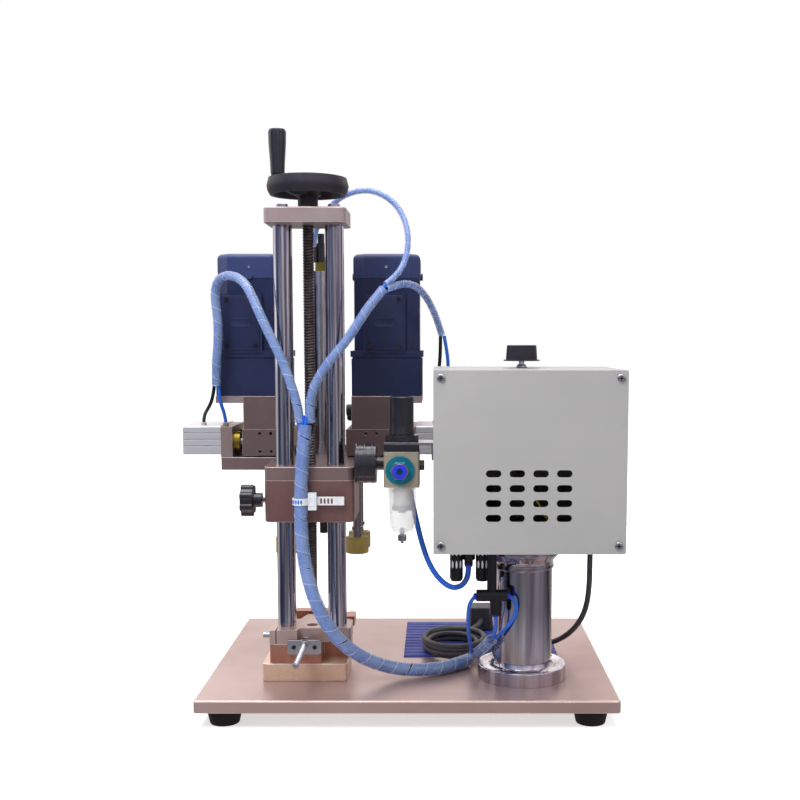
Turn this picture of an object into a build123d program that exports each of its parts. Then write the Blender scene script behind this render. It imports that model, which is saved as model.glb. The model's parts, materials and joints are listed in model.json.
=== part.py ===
# Bottle capping machine, millimetres, +Z up. Bottles go in on the +Y side, and the column stand,
# its cables and the lid of the control box face -Y. Everything is first placed from the middle of
# the base plate, with the floor at z = 0, and moved at the end so that the origin is under the
# middle of the whole machine.
from build123d import *
from math import cos, pi, radians, sin, tan
import os

# Base plate and its feet
PLATE_W = 430.0
PLATE_D = 330.0
PLATE_T = 13.0
FOOT_H = 18.0
FOOT_R_TOP = 19.0
FOOT_R_BOTTOM = 15.0
FOOT_INSET = 27.0
TOP = FOOT_H + PLATE_T

# Column stand: two guide columns and a lead screw between them
AXIS_X = -104.0
COL_Y = -77.0
COL_HALF = 27.0
COL_R = 10.0
SCREW_R = 6.0
SCREW_END = 117.0
RUN = 0.05
STAND_FRONT = -101.0
CLAMP_STEP = -91.0
FOOT_BLOCK_TOP = 50.0
FOOT_BLOCK_X0 = AXIS_X - 51.0
FOOT_BLOCK_X1 = AXIS_X + 39.0
SEAT_TOP = 71.0
CLAMP_TOP = 86.0
CAP_BOTTOM = 510.0
CAP_T = 15.5
CAP_HALF = 42.0
COLUMN_HOLE = 10.0

# Handwheel and crank
WHEEL_R = 42.5
WHEEL_Z0 = 541.0
WHEEL_Z1 = 559.0
HUB_R = 10.5
CRANK_X = AXIS_X - 31.0
CRANK_TOP = 608.0

# Bottle stop
ROD_X = -109.0
ROD_Z = 72.0
ROD_R = 3.0
ROD_END = -182.0
STOP_Y = -10.0
STOP_Z0 = 67.0
JAW_Z1 = 78.0
STOP_Z1 = 88.0

# Carriage that rides on the columns
BLOCK_HALF = 47.3
BLOCK_CORNER = 9.0
BLOCK_FRONT = -97.0
BLOCK_BACK = -14.0
BLOCK_Z0 = 200.6
LOCK_Z = 221.5
LOCK_R = 3.0
PLATE_Z0 = 244.5
PLATE_Z1 = 259.0
BEAM_HALF = 110.5
BEAM_Y0 = 0.0
BEAM_Y1 = 80.0
CAP_Y = 48.0
PRESS_Z0 = 164.0
PRESS_END_Z1 = 205.0

# Slides that carry the motors and the capping rollers, places counted from the machine's middle plane
SLIDE_IN = 31.0
SLIDE_OUT = 86.0
SLIDE_Z0 = 261.0
SLIDE_Z1 = 290.5
RISER_IN = 37.5
RISER_OUT = 84.5
RISER_WALL = 8.0
MOTOR_PLATE_Z0 = 320.0
MOTOR_PLATE_Z1 = 328.0
MOTOR_OFF = 77.0
MOTOR_SIZE = 80.0
MOTOR_CUT = 12.0
FAN_Z0 = 461.0
FAN_HALF = 38.0
FRAME_HALF = 37.2
EAR_R = 4.0
EAR_OUT = 2.6
PANEL_HALF = 23.0
PANEL_SHIFT_LEFT = -9.0
PANEL_SHIFT_RIGHT = -2.0
ROLLER_OFF = 41.0
ROLLER_STEP = 17.5
ROLLER_R = 13.2
ROLLER_Z0 = 144.0
ROLLER_Z1 = 163.0
SPINDLE_R = 5.0
PULLEY_R = 9.0
BELT_T = 1.8
BELT_Z0 = 300.0
BELT_Z1 = 310.0
STROKE = 12.0

# Air cylinders at both ends of the beam
END_PLATE_T = 13.0
END_PLATE_TOP = 293.5
AIR_L = 43.0
AIR_H = 32.5
AIR_Z0 = 262.0
PORT_TOP = 298.0
ROD_PITCH = 46.0
AIR_ROD_R = 4.5

# Control box on its post
POST_X = 121.5
POST_Y = -78.0
POST_R = 31.75
POST_FLANGE_R = 47.5
BOX_W = 190.0
BOX_X0 = 26.5
BOX_Y0 = -168.0
BOX_Y1 = -5.0
BOX_Z0 = 181.0
BOX_Z1 = 362.0
BOX_WALL = 1.5
COVER_T = 2.0

# Filter and regulator between the columns and the box
REG_X = -6.5
REG_Y = -95.0
REG_W = 37.0
REG_D = 36.0
REG_Z0 = 239.5
REG_Z1 = 276.5

# Ribbed mat on the base plate, under the coiled cord
MAT_TOP = TOP + 1.6

# Cords: outer radius of each tube
MAIN_R = 7.25
BRANCH_R = 5.0
LOOP_R = 3.3
SIDE_R = 4.0
AIR_TUBE_R = 2.0
FEED_R = 3.0
MAINS_R = 3.0

# Valve fittings, gland, speed knob, vent slots and screws of the control box
FITTING_R = 5.0
VALVE_Y = -100.0
VALVE_X0 = 42.0
VALVE_X1 = 104.0
MUFFLER_XS = (50.5, 77.5)
FEED_X = 63.3
TEE_X = 87.0
TEE_Y = -115.0
FLOOR_HOLES = [(MUFFLER_XS[0], VALVE_Y), (MUFFLER_XS[1], VALVE_Y), (FEED_X, VALVE_Y), (TEE_X, TEE_Y)]
GLAND_X = 193.5
GLAND_Y = -80.0
GLAND_END = 168.0
POT_X = 119.0
POT_Y = -78.0
SLOT_X = 85.6
SLOT_Z = 261.0
SLOT_DX = 23.2
SLOT_DZ = 14.7
SLOT_R = 3.6
COVER_SCREWS = [(34, 354.5), (209, 354.5), (34, 189.5), (209, 189.5)]

# Routes of the cords, from the middle of the base plate
MAIN_ROUTE = [(-105.5, -108, 305), (-107.5, -107, 285), (-110, -106, 258), (-111.5, -106, 229),
              (-111.5, -106.8, 199), (-109, -111, 169), (-103.5, -116.5, 144), (-95.5, -121, 121),
              (-84, -122, 97), (-67, -116.5, 74), (-42, -104, 54), (-14, -91, 41.5), (16, -87, 38.8),
              (44, -73, 38.6), (65, -50, 39.5)]
LEFT_ROUTE = [(-111, -108.5, 306.8), (-112.5, -109.5, 323), (-119, -109, 345), (-128, -107, 369),
              (-138, -103.5, 389), (-147.5, -98.5, 407), (-156.5, -90.5, 425), (-165, -79, 441),
              (-174, -65, 452.5), (-186.5, -50, 459.5), (-200, -36.5, 461), (-210.5, -25.5, 455),
              (-214.5, -19.5, 440), (-212.5, -18, 422), (-211.5, -17.5, 402), (-213, -16, 382),
              (-215.5, -13.5, 362), (-216.5, -9.5, 341)]
LEFT_CABLE = [(-218.8, -9, 340), (-220.5, -8, 328.5), (-224.5, -5, 319), (-230, 2.5, 312),
              (-234.5, 10, 306), (-236, 13.5, 299)]
LEFT_AIR = [(-214.2, -8.8, 340), (-213.5, -7.8, 328), (-212, -4, 317.5), (-210, 1.5, 308.5),
            (-209.2, 4.5, 298.8)]
RIGHT_ROUTE = [(-100, -108.5, 306.8), (-101, -110, 322), (-97.5, -111, 341), (-88, -110, 359),
               (-75, -107, 376), (-61, -102, 393), (-50.5, -97.5, 410), (-39, -91, 428), (-26, -82, 444)]
TOP_LOOP = [(-24, -80, 449), (-14, -71, 457), (-6, -62, 469), (-1.5, -54, 484), (-0.5, -45, 501),
            (-4, -36, 519), (-13, -27, 536), (-26, -19, 547.5), (-41, -14, 554), (-57, -9, 554.5),
            (-74, -1, 550), (-88, 10, 541), (-98, 22, 531.5), (-106, 33, 521), (-110.5, 40, 510),
            (-111.5, 42, 498.9)]
RIGHT_LOOP = [(-23, -80, 444), (-13, -69, 449), (-1, -54, 451.5), (9.5, -38, 448), (17.5, -17, 439.5),
              (24.5, 4, 427.5), (30.5, 15, 413), (35.5, 22.5, 397)]
RIGHT_CABLE = [(34, 22.8, 396), (34, 26, 381), (33, 29.5, 364), (31, 31, 346), (28.5, 33, 328),
               (27.5, 36.5, 312), (28, 40, 298.6)]
RIGHT_AIR = [(38.2, 22.8, 396), (41, 25.6, 381), (43, 28, 364), (42, 30, 346), (39, 32, 328),
             (37, 36.5, 312), (37, 41, 298.6)]
TEE_LEFT = [(69.4, -115.2, 125.6), (64.5, -116, 121), (62.5, -114.5, 110), (62.5, -109, 97),
            (63.5, -99, 83), (65.3, -86, 69), (67, -73, 57), (68.5, -61, 48)]
TEE_MIDDLE = [(91, -115, 106.4), (91.8, -114.5, 98), (91.2, -111.5, 89), (89.5, -105.5, 80.5)]
TEE_RIGHT = [(104.4, -115.4, 126.6), (110, -117.5, 124), (113, -120.5, 115), (110, -121.5, 105),
             (103.5, -117.5, 95), (97, -110.5, 86), (92, -104.5, 79)]
SHORT_WRAP = [(88, -103, 77), (82, -88.5, 66.5), (75.5, -73, 55), (69, -58.5, 45.5)]
FEED_ROUTE = [(-6.5, -70, 257), (-6.5, -58, 256), (-4.5, -47, 248), (-1, -42.5, 233), (3, -46, 215),
              (8, -54, 194), (13.5, -64, 173), (21, -71, 152), (32, -77, 136), (45, -83, 127.5),
              (56, -88.5, 130.5), (61.8, -95, 140), (63.2, -99, 149.5), (63.3, -100, 156.6)]
MAINS_ROUTE = [(193.5, -80, 168), (193.4, -79.9, 150), (193.2, -79.8, 134), (192.5, -77, 117.5), (191.5, -67, 102),
               (189, -49, 85), (183.5, -28, 68), (175, -7, 53), (163, 11, 41.5), (147, 24, 36.5),
               (129, 31, 36.4), (111, 30.5, 37), (92.8, 26.5, 38)]
PLUG_LEAD = [(67.5, 62.5, 42), (74.5, 71, 43), (81.5, 81, 44.5), (84.5, 97.3, 45.5)]

# The machine reaches from the left air cylinder to the box, and from the rod's end to the plate's edge
LEFT_END = AXIS_X - BEAM_HALF - AIR_L
RIGHT_END = BOX_X0 + BOX_W
ORIGIN_X = (LEFT_END + RIGHT_END) / 2
ORIGIN_Y = (ROD_END + PLATE_D / 2) / 2


def block(x0, x1, y0, y1, z0, z1):
    centre = Pos((x0 + x1) / 2, (y0 + y1) / 2, (z0 + z1) / 2)
    return centre * Box(abs(x1 - x0), abs(y1 - y0), z1 - z0)


def rounded(x0, x1, y0, y1, z0, z1, radius):
    solid = block(x0, x1, y0, y1, z0, z1)
    return fillet(solid.edges().filter_by(Axis.Z), radius)


def post(x, y, z0, z1, r):
    return Pos(x, y, (z0 + z1) / 2) * Cylinder(r, z1 - z0)


def taper(x, y, z0, z1, r0, r1):
    return Pos(x, y, (z0 + z1) / 2) * Cone(r0, r1, z1 - z0)


def bar_x(x0, x1, y, z, r):
    return Pos((x0 + x1) / 2, y, z) * Rot(0, 90, 0) * Cylinder(r, abs(x1 - x0))


def bar_y(x, y0, y1, z, r):
    return Pos(x, (y0 + y1) / 2, z) * Rot(90, 0, 0) * Cylinder(r, abs(y1 - y0))


def hexagon_y(x, y0, y1, z, across):
    flat = Plane(origin=(x, y0, z), x_dir=(1, 0, 0), z_dir=(0, 1, 0))
    return extrude(flat * RegularPolygon(across / 2, 6, major_radius=False), amount=y1 - y0)


def hexagon_z(x, y, z0, z1, across):
    flat = Plane(origin=(x, y, z0), z_dir=(0, 0, 1))
    return extrude(flat * RegularPolygon(across / 2, 6, major_radius=False), amount=z1 - z0)


def prism(points, z0, z1):
    outline = Polygon(*points, align=None)
    return Pos(0, 0, z0) * extrude(outline, amount=z1 - z0)


def turned(x, y, profile):
    face = make_face(Plane.XZ * Polyline(*profile, close=True))
    return Pos(x, y, 0) * revolve(face, axis=Axis.Z)


def route_radii(points):
    radii = []
    for before, corner, after in zip(points, points[1:], points[2:]):
        run_in = Vector(*corner) - Vector(*before)
        run_out = Vector(*after) - Vector(*corner)
        turn = radians(run_in.get_angle(run_out))
        radii.append(0.45 * min(run_in.length, run_out.length) / tan(turn / 2))
    return radii


def tube(label, points, r):
    radii = route_radii(points)
    path = FilletPolyline(*points, radius=radii)
    solid = sweep(Plane(origin=path @ 0, z_dir=path % 0) * Circle(r), path=path)
    expected = pi * r * r * path.length
    shown = " ".join(f"{radius:.0f}" for radius in radii)
    print(f"{label}: length {path.length:.0f} volume ratio {solid.volume / expected:.4f} radii {shown}")
    return solid


def base_plate():
    solid = rounded(-PLATE_W / 2, PLATE_W / 2, -PLATE_D / 2, PLATE_D / 2, FOOT_H, TOP, 4)
    return chamfer(solid.edges().group_by(Axis.Z)[-1], 1.2)


def rubber_feet():
    x = PLATE_W / 2 - FOOT_INSET
    y = PLATE_D / 2 - FOOT_INSET
    places = [(-x, -y), (x, -y), (-x, y), (x, y)]
    return Compound([taper(px, py, 0, FOOT_H, FOOT_R_BOTTOM, FOOT_R_TOP) for px, py in places])


def column_foot():
    return rounded(FOOT_BLOCK_X0, FOOT_BLOCK_X1, STAND_FRONT, -41, TOP, FOOT_BLOCK_TOP, 4)


def column_seat():
    left = rounded(AXIS_X - 43, AXIS_X + 12, STAND_FRONT, -47, FOOT_BLOCK_TOP, SEAT_TOP, 4)
    right = rounded(AXIS_X - 10, AXIS_X + 41, -73, -47, FOOT_BLOCK_TOP, SEAT_TOP, 3)
    seat = left + right - block(ROD_X - 6.5, ROD_X + 6.5, CLAMP_STEP - 6, CLAMP_STEP, 66, SEAT_TOP)
    return seat - bar_y(ROD_X, -110, -30, ROD_Z, ROD_R + RUN)


def column_clamp():
    outline = [(-147, STAND_FRONT), (-118, STAND_FRONT), (-116, CLAMP_STEP), (-64, CLAMP_STEP),
               (-62, -88), (-62, -56), (-66, -52), (-94, -52), (-99, -44), (-108, -30), (-114, -30),
               (-120, -52), (-143, -52), (-147, -56)]
    clamp = prism(outline, SEAT_TOP, CLAMP_TOP)
    for side in (-1, 1):
        clamp -= post(AXIS_X + side * COL_HALF, COL_Y, SEAT_TOP, CLAMP_TOP, COL_R)
    clamp -= post(AXIS_X, COL_Y, SEAT_TOP, CLAMP_TOP, SCREW_R + RUN)
    clamp -= bar_y(ROD_X, -110, -20, ROD_Z, ROD_R + RUN)
    clamp -= block(-140.6, -139.4, -102, COL_Y - COL_R + 1, SEAT_TOP, CLAMP_TOP)
    screw = bar_x(-154, -147, -94, 79, 4.2)
    return clamp + screw


def nut_plate():
    plate = rounded(-18, 18, -7.5, 7.5, 0, 6, 2.5)
    plate = Pos(ROD_X - 0.5, STAND_FRONT, ROD_Z - 2.5) * Rot(90, 0, 0) * plate
    front = STAND_FRONT - 6
    hole = bar_y(ROD_X, front - 6, CLAMP_STEP + 1, ROD_Z, ROD_R + RUN)
    outer = plate + hexagon_y(ROD_X, front - 5, front, ROD_Z, 10) - hole
    inner = hexagon_y(ROD_X, CLAMP_STEP - 5, CLAMP_STEP, ROD_Z, 10) - hole
    return Compound([outer, inner])


def guide_columns():
    top = CAP_BOTTOM + COLUMN_HOLE
    return Compound([post(AXIS_X + side * COL_HALF, COL_Y, SEAT_TOP, top, COL_R) for side in (-1, 1)])


def top_plate():
    plate = rounded(AXIS_X - CAP_HALF, AXIS_X + CAP_HALF, COL_Y - 35, COL_Y + 35, CAP_BOTTOM, CAP_BOTTOM + CAP_T, 8)
    plate = chamfer(plate.edges().group_by(Axis.Z)[-1], 1)
    for side in (-1, 1):
        plate -= post(AXIS_X + side * COL_HALF, COL_Y, CAP_BOTTOM, CAP_BOTTOM + COLUMN_HOLE, COL_R)
        stud_z = CAP_BOTTOM + COLUMN_HOLE + 1
        plate += post(AXIS_X + side * COL_HALF, COL_Y, stud_z, CAP_BOTTOM + CAP_T + 6, 6.5)
    return plate - post(AXIS_X, COL_Y, CAP_BOTTOM, CAP_BOTTOM + CAP_T, SCREW_R + RUN)


def lead_screw():
    return post(AXIS_X, COL_Y, SCREW_END, WHEEL_Z0 + 4, SCREW_R)


def handwheel():
    z0 = WHEEL_Z0
    profile = [(0, z0 + 4), (SCREW_R, z0 + 4), (SCREW_R, z0 - 14), (HUB_R, z0 - 14), (HUB_R, z0 - 2),
               (33, z0 + 8), (35.5, z0), (39, z0 - 0.5), (WHEEL_R - 1, z0 + 4), (WHEEL_R, z0 + 9),
               (WHEEL_R - 2, WHEEL_Z1 - 1), (WHEEL_R - 6, WHEEL_Z1), (34, WHEEL_Z1 - 3),
               (30, z0 + 13), (12, z0 + 8), (0, z0 + 8)]
    wheel = turned(AXIS_X, COL_Y, profile)
    gap = post(AXIS_X, COL_Y, z0 - 6, WHEEL_Z1 + 1, 31) - post(AXIS_X, COL_Y, z0 - 6, WHEEL_Z1 + 1, 14)
    for k in range(3):
        spoke = block(0, 34, -6.5, 6.5, z0 - 6, WHEEL_Z1 + 1)
        gap -= Pos(AXIS_X, COL_Y, 0) * Rot(0, 0, 60 + 120 * k) * spoke
    wheel -= gap
    wheel += post(CRANK_X, COL_Y, z0 + 9, WHEEL_Z1 + 1, 6)
    wheel += post(CRANK_X, COL_Y, WHEEL_Z1, CRANK_TOP - 8, 3)
    return wheel


def crank_grip():
    z0 = WHEEL_Z1 + 1.3
    profile = [(3.05, z0), (6.5, z0), (7.4, z0 + 3), (7.8, z0 + 14), (9.2, z0 + 34), (9.4, CRANK_TOP - 3),
               (8.4, CRANK_TOP), (0, CRANK_TOP), (0, CRANK_TOP - 7.5), (3.05, CRANK_TOP - 7.5)]
    return turned(CRANK_X, COL_Y, profile)


def adjusting_rod():
    return bar_y(ROD_X, ROD_END, STOP_Y - 8, ROD_Z, ROD_R)


def v_block():
    tip = STOP_Y + 24
    jaw = [(AXIS_X - 40, STOP_Y), (AXIS_X + 40, STOP_Y), (AXIS_X + 40, tip), (AXIS_X + 34, tip),
           (AXIS_X, STOP_Y + 6), (AXIS_X - 34, tip), (AXIS_X - 40, tip)]
    jaw_solid = prism(jaw, STOP_Z0, JAW_Z1)
    slider = rounded(AXIS_X - 25, AXIS_X + 25, STOP_Y - 14, STOP_Y + 1, STOP_Z0, STOP_Z1, 2)
    return jaw_solid + slider - bar_y(ROD_X, STOP_Y - 15, STOP_Y - 8, ROD_Z, ROD_R)


def cross_plate():
    left = AXIS_X - BLOCK_HALF
    right = AXIS_X + BLOCK_HALF
    stem = rounded(left, right, BLOCK_FRONT, BEAM_Y0 + 6, PLATE_Z0, PLATE_Z1, BLOCK_CORNER)
    beam = rounded(AXIS_X - BEAM_HALF, AXIS_X + BEAM_HALF, BEAM_Y0, BEAM_Y1, PLATE_Z0, PLATE_Z1, 2)
    plate = stem + beam
    for side in (-1, 1):
        plate -= post(AXIS_X + side * COL_HALF, COL_Y, PLATE_Z0, PLATE_Z1, COL_R + RUN)
        for row in (-1, 1):
            y = CAP_Y + row * ROLLER_STEP
            far = AXIS_X + side * (ROLLER_OFF + 8)
            near = AXIS_X + side * (ROLLER_OFF - STROKE - 8)
            plate -= block(min(near, far), max(near, far), y - 8, y + 8, PLATE_Z0, PLATE_Z1)
        rail_in = AXIS_X + side * 18
        rail_out = AXIS_X + side * 97
        near, far = min(rail_in, rail_out), max(rail_in, rail_out)
        plate += block(near, far, CAP_Y - 6, CAP_Y + 6, PLATE_Z1, 269)
    plate -= post(AXIS_X, CAP_Y, PLATE_Z0, PLATE_Z1, 9)
    return plate - post(AXIS_X, COL_Y, PLATE_Z0, PLATE_Z1, SCREW_R + RUN)


def bearing_block():
    left = AXIS_X - BLOCK_HALF
    right = AXIS_X + BLOCK_HALF
    solid = rounded(left, right, BLOCK_FRONT, BLOCK_BACK, BLOCK_Z0, PLATE_Z0, BLOCK_CORNER)
    solid = chamfer(solid.edges().group_by(Axis.Z)[0], 0.8)
    for side in (-1, 1):
        solid -= post(AXIS_X + side * COL_HALF, COL_Y, BLOCK_Z0, PLATE_Z0, COL_R + RUN)
    solid -= bar_x(left, AXIS_X - COL_HALF, COL_Y, LOCK_Z, LOCK_R + RUN)
    return solid - post(AXIS_X, COL_Y, BLOCK_Z0, PLATE_Z0, SCREW_R + RUN)


def lock_knob():
    edge = AXIS_X - BLOCK_HALF
    z = LOCK_Z
    y = COL_Y
    stud = bar_x(AXIS_X - COL_HALF - COL_R - 0.5, edge - 4.6, y, z, LOCK_R)
    knob = stud + bar_x(edge - 4.6, edge - 14, y, z, 7.6)
    head = bar_x(edge - 13.5, edge - 26.6, y, z, 14.5)
    for k in range(7):
        turn = 2 * pi * k / 7
        head += bar_x(edge - 13.5, edge - 26.6, y + 13 * cos(turn), z + 13 * sin(turn), 4.3)
    return knob + head


def end_plates():
    plates = []
    for side in (-1, 1):
        outer = AXIS_X + side * BEAM_HALF
        inner = outer - side * END_PLATE_T
        x0, x1 = min(outer, inner), max(outer, inner)
        plate = block(x0, x1, BEAM_Y0, BEAM_Y1, PLATE_Z1, END_PLATE_TOP)
        for row in (-1, 1):
            y = 40 + row * ROD_PITCH / 2
            plate -= bar_x(x0, x1, y, 276, AIR_ROD_R + RUN)
            ring = bar_x(inner, inner - side * 7, y, 276, 11.3)
            plate += ring - bar_x(inner, inner - side * 7, y, 276, AIR_ROD_R + RUN)
        if side < 0:
            plate += post(LEFT_AIR[-1][0], LEFT_AIR[-1][1], END_PLATE_TOP, PORT_TOP, 3.2)
        plates.append(plate)
    return Compound(plates)


def air_cylinders():
    bodies = []
    for side in (-1, 1):
        inner = AXIS_X + side * BEAM_HALF
        outer = inner + side * AIR_L
        x0, x1 = min(outer, inner), max(outer, inner)
        body = block(x0, x1, BEAM_Y0 + 1, BEAM_Y1 - 1, AIR_Z0, AIR_Z0 + AIR_H)
        body = chamfer(body.edges().filter_by(Axis.X), 1.5)
        for level in (AIR_Z0 + 9, AIR_Z0 + 16.5, AIR_Z0 + 24):
            body -= block(x0, x1, BEAM_Y0, BEAM_Y0 + 2, level, level + 1.4)
            body -= block(x0, x1, BEAM_Y1 - 2, BEAM_Y1, level, level + 1.4)
        for row in (-1, 1):
            y = 40 + row * ROD_PITCH / 2
            body -= bar_x(inner, inner + side * 30, y, 276, AIR_ROD_R + RUN)
        for route in (LEFT_CABLE,) if side < 0 else (RIGHT_CABLE, RIGHT_AIR):
            body += post(route[-1][0], route[-1][1], AIR_Z0 + AIR_H, PORT_TOP, 3.2)
        bodies.append(body)
    return Compound(bodies)


def press_cylinder():
    x, y, z0 = AXIS_X, CAP_Y, PLATE_Z1
    shell = post(x, y, z0, z0 + 14, 12) + post(x, y, z0 + 14, 455, 11) + post(x, y, 455, 470, 12)
    shell += hexagon_z(x, y, 470, 480, 12) + post(x, y, 480, 502, 6) + post(x, y, 502, 513, 4)
    shell += post(x - 7.5, y - 6, 480, 498, 3.8)
    return shell - post(x, y, z0, z0 + 60, 4 + RUN)


def press_rod():
    x, y = AXIS_X, CAP_Y
    end = post(x, y, PRESS_Z0, PRESS_END_Z1, 4.7)
    end = fillet(end.edges().group_by(Axis.Z)[0], 1.2)
    return post(x, y, PRESS_END_Z1 - 1, PLATE_Z1 + 36, 4) + end


def cable_tie():
    x, y, z = -111.5, -106.0, 224.5
    ring = post(x, y, z - 3.5, z + 3.5, 8.9) - post(x, y, z - 3.5, z + 3.5, 7.6)
    head = block(x + 7.8, x + 16.5, y - 3.5, y + 3.5, z - 9, z + 9)
    strap = block(x + 16, x + 45, y + 1.5, y + 2.8, z - 4.5, z + 4.5)
    return ring + (head - post(x, y, z - 9, z + 9, 7.6)) + strap


def side_x(side, offset):
    return AXIS_X + side * offset


def span(side, a, b):
    first, second = side_x(side, a), side_x(side, b)
    return min(first, second), max(first, second)


def slide_block(side):
    x0, x1 = span(side, SLIDE_IN, SLIDE_OUT)
    solid = block(x0, x1, BEAM_Y0, BEAM_Y1 - 4, SLIDE_Z0, SLIDE_Z1)
    solid -= block(x0, x1, CAP_Y - 6.3, CAP_Y + 6.3, SLIDE_Z0, 269.4)
    for row in (-1, 1):
        y = CAP_Y + row * ROLLER_STEP
        solid -= post(side_x(side, ROLLER_OFF), y, SLIDE_Z0, SLIDE_Z1, SPINDLE_R + RUN)
        rod_y = 40 + row * ROD_PITCH / 2
        r0, r1 = span(side, SLIDE_OUT, BEAM_HALF + 14)
        solid += bar_x(r0, r1, rod_y, 276, AIR_ROD_R)
    for dx in (53.6, 66.2):
        for z in (265.5, 286):
            solid -= bar_y(side_x(side, dx), BEAM_Y0, BEAM_Y0 + 9, z, 2.1)
    return solid


def motor_bracket(side):
    x0, x1 = span(side, RISER_IN, RISER_OUT)
    front = block(x0, x1, BEAM_Y0, RISER_WALL, SLIDE_Z1, MOTOR_PLATE_Z1)
    back = block(x0, x1, BEAM_Y1 + 8 - RISER_WALL, BEAM_Y1 + 8, SLIDE_Z1 - 20, MOTOR_PLATE_Z0)
    back += block(x0, x1, BEAM_Y1 - 4, BEAM_Y1 + 8, SLIDE_Z1 - 20, SLIDE_Z1)
    p0, p1 = span(side, MOTOR_OFF - MOTOR_SIZE / 2, MOTOR_OFF + MOTOR_SIZE / 2)
    plate = block(p0, p1, RISER_WALL, BEAM_Y1 + 8, MOTOR_PLATE_Z0, MOTOR_PLATE_Z1)
    plate -= post(side_x(side, MOTOR_OFF), CAP_Y, MOTOR_PLATE_Z0, MOTOR_PLATE_Z1, 14)
    b0, b1 = span(side, SLIDE_IN, RISER_IN)
    bumper = bar_x(b0, b1, 12, 312, 6.5)
    return front + back + plate + bumper


def clipped(x, y, half, cut, z0, z1):
    """A square column with its four upright edges cut off."""
    corners = [(half - cut, half), (-half + cut, half), (-half, half - cut), (-half, -half + cut),
               (-half + cut, -half), (half - cut, -half), (half, -half + cut), (half, half - cut)]
    return prism([(x + dx, y + dy) for dx, dy in corners], z0, z1)


def gear_motor(side):
    x, y = side_x(side, MOTOR_OFF), CAP_Y
    half = MOTOR_SIZE / 2
    gear = rounded(x - half, x + half, y - half, y + half, MOTOR_PLATE_Z1, 370, 5)
    flange = rounded(x - half - 1, x + half + 1, y - half - 1, y + half + 1, 372, 379, 4)
    joint = rounded(x - half + 1, x + half - 1, y - half + 1, y + half - 1, 370, 372, 4)
    frame = clipped(x, y, FRAME_HALF, MOTOR_CUT, 379, FAN_Z0)
    fan = clipped(x, y, FAN_HALF, MOTOR_CUT + 1, FAN_Z0, 488)
    fan = fillet(fan.edges().group_by(Axis.Z)[-1], 6)
    ears = bar_x(x - FAN_HALF - EAR_OUT, x + FAN_HALF + EAR_OUT, y, FAN_Z0 + 2.5, EAR_R)
    ears += bar_y(x, y - FAN_HALF - EAR_OUT, y + FAN_HALF + EAR_OUT, FAN_Z0 + 2.5, EAR_R)
    middle = x + (PANEL_SHIFT_LEFT if side < 0 else PANEL_SHIFT_RIGHT)
    panel = block(middle - PANEL_HALF, middle + PANEL_HALF, y - half - 3, y - half + 4, 377, 443)
    motor = gear + flange + joint + frame + fan + ears + panel
    return motor - post(x, y, MOTOR_PLATE_Z1, 352, 5 + RUN)


def drive_pulley(side):
    x, y = side_x(side, MOTOR_OFF), CAP_Y
    wheel = post(x, y, BELT_Z0, BELT_Z1, PULLEY_R) + post(x, y, BELT_Z1, BELT_Z1 + 1.2, PULLEY_R + 1.5)
    return wheel + post(x, y, BELT_Z0 - 4, 350, 5)


def drive_belt(side):
    centres = [(side_x(side, MOTOR_OFF), CAP_Y), (side_x(side, ROLLER_OFF), CAP_Y - ROLLER_STEP),
               (side_x(side, ROLLER_OFF), CAP_Y + ROLLER_STEP)]
    inner_r = PULLEY_R + 0.25
    inner = Sketch() + [Pos(x, y) * Circle(inner_r) for x, y in centres]
    outer = Sketch() + [Pos(x, y) * Circle(inner_r + BELT_T) for x, y in centres]
    inner_face = make_hull(inner.edges())
    outer_face = make_hull(outer.edges())
    return Pos(0, 0, BELT_Z0) * extrude(outer_face - inner_face, amount=BELT_Z1 - BELT_Z0)


def roller(side, row):
    x, y = side_x(side, ROLLER_OFF), CAP_Y + row * ROLLER_STEP
    tyre = rounded_disc(x, y, ROLLER_Z0, ROLLER_Z1, ROLLER_R)
    shaft = post(x, y, ROLLER_Z1, BELT_Z0, SPINDLE_R) + post(x, y, 171, 175, 6.5)
    pulley = post(x, y, BELT_Z0, BELT_Z1, PULLEY_R) + post(x, y, BELT_Z0 - 1.2, BELT_Z0, PULLEY_R + 1.5)
    return tyre + shaft + pulley


def rounded_disc(x, y, z0, z1, r):
    disc = post(x, y, z0, z1, r)
    return fillet(disc.edges().filter_by(GeomType.CIRCLE), 1)


def control_post():
    r, z = POST_R, TOP
    profile = [(0, z), (POST_FLANGE_R, z), (POST_FLANGE_R, z + 14), (46.5, z + 15), (44, z + 15),
               (42, z + 12.5), (36, z + 13.5), (33.5, z + 16), (r, z + 21), (r, 150), (33.5, 151),
               (33.5, 155), (r + 0.5, 156), (34, 160), (39, 165), (41, 167), (41, BOX_Z0), (0, BOX_Z0)]
    return turned(POST_X, POST_Y, profile)


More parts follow.
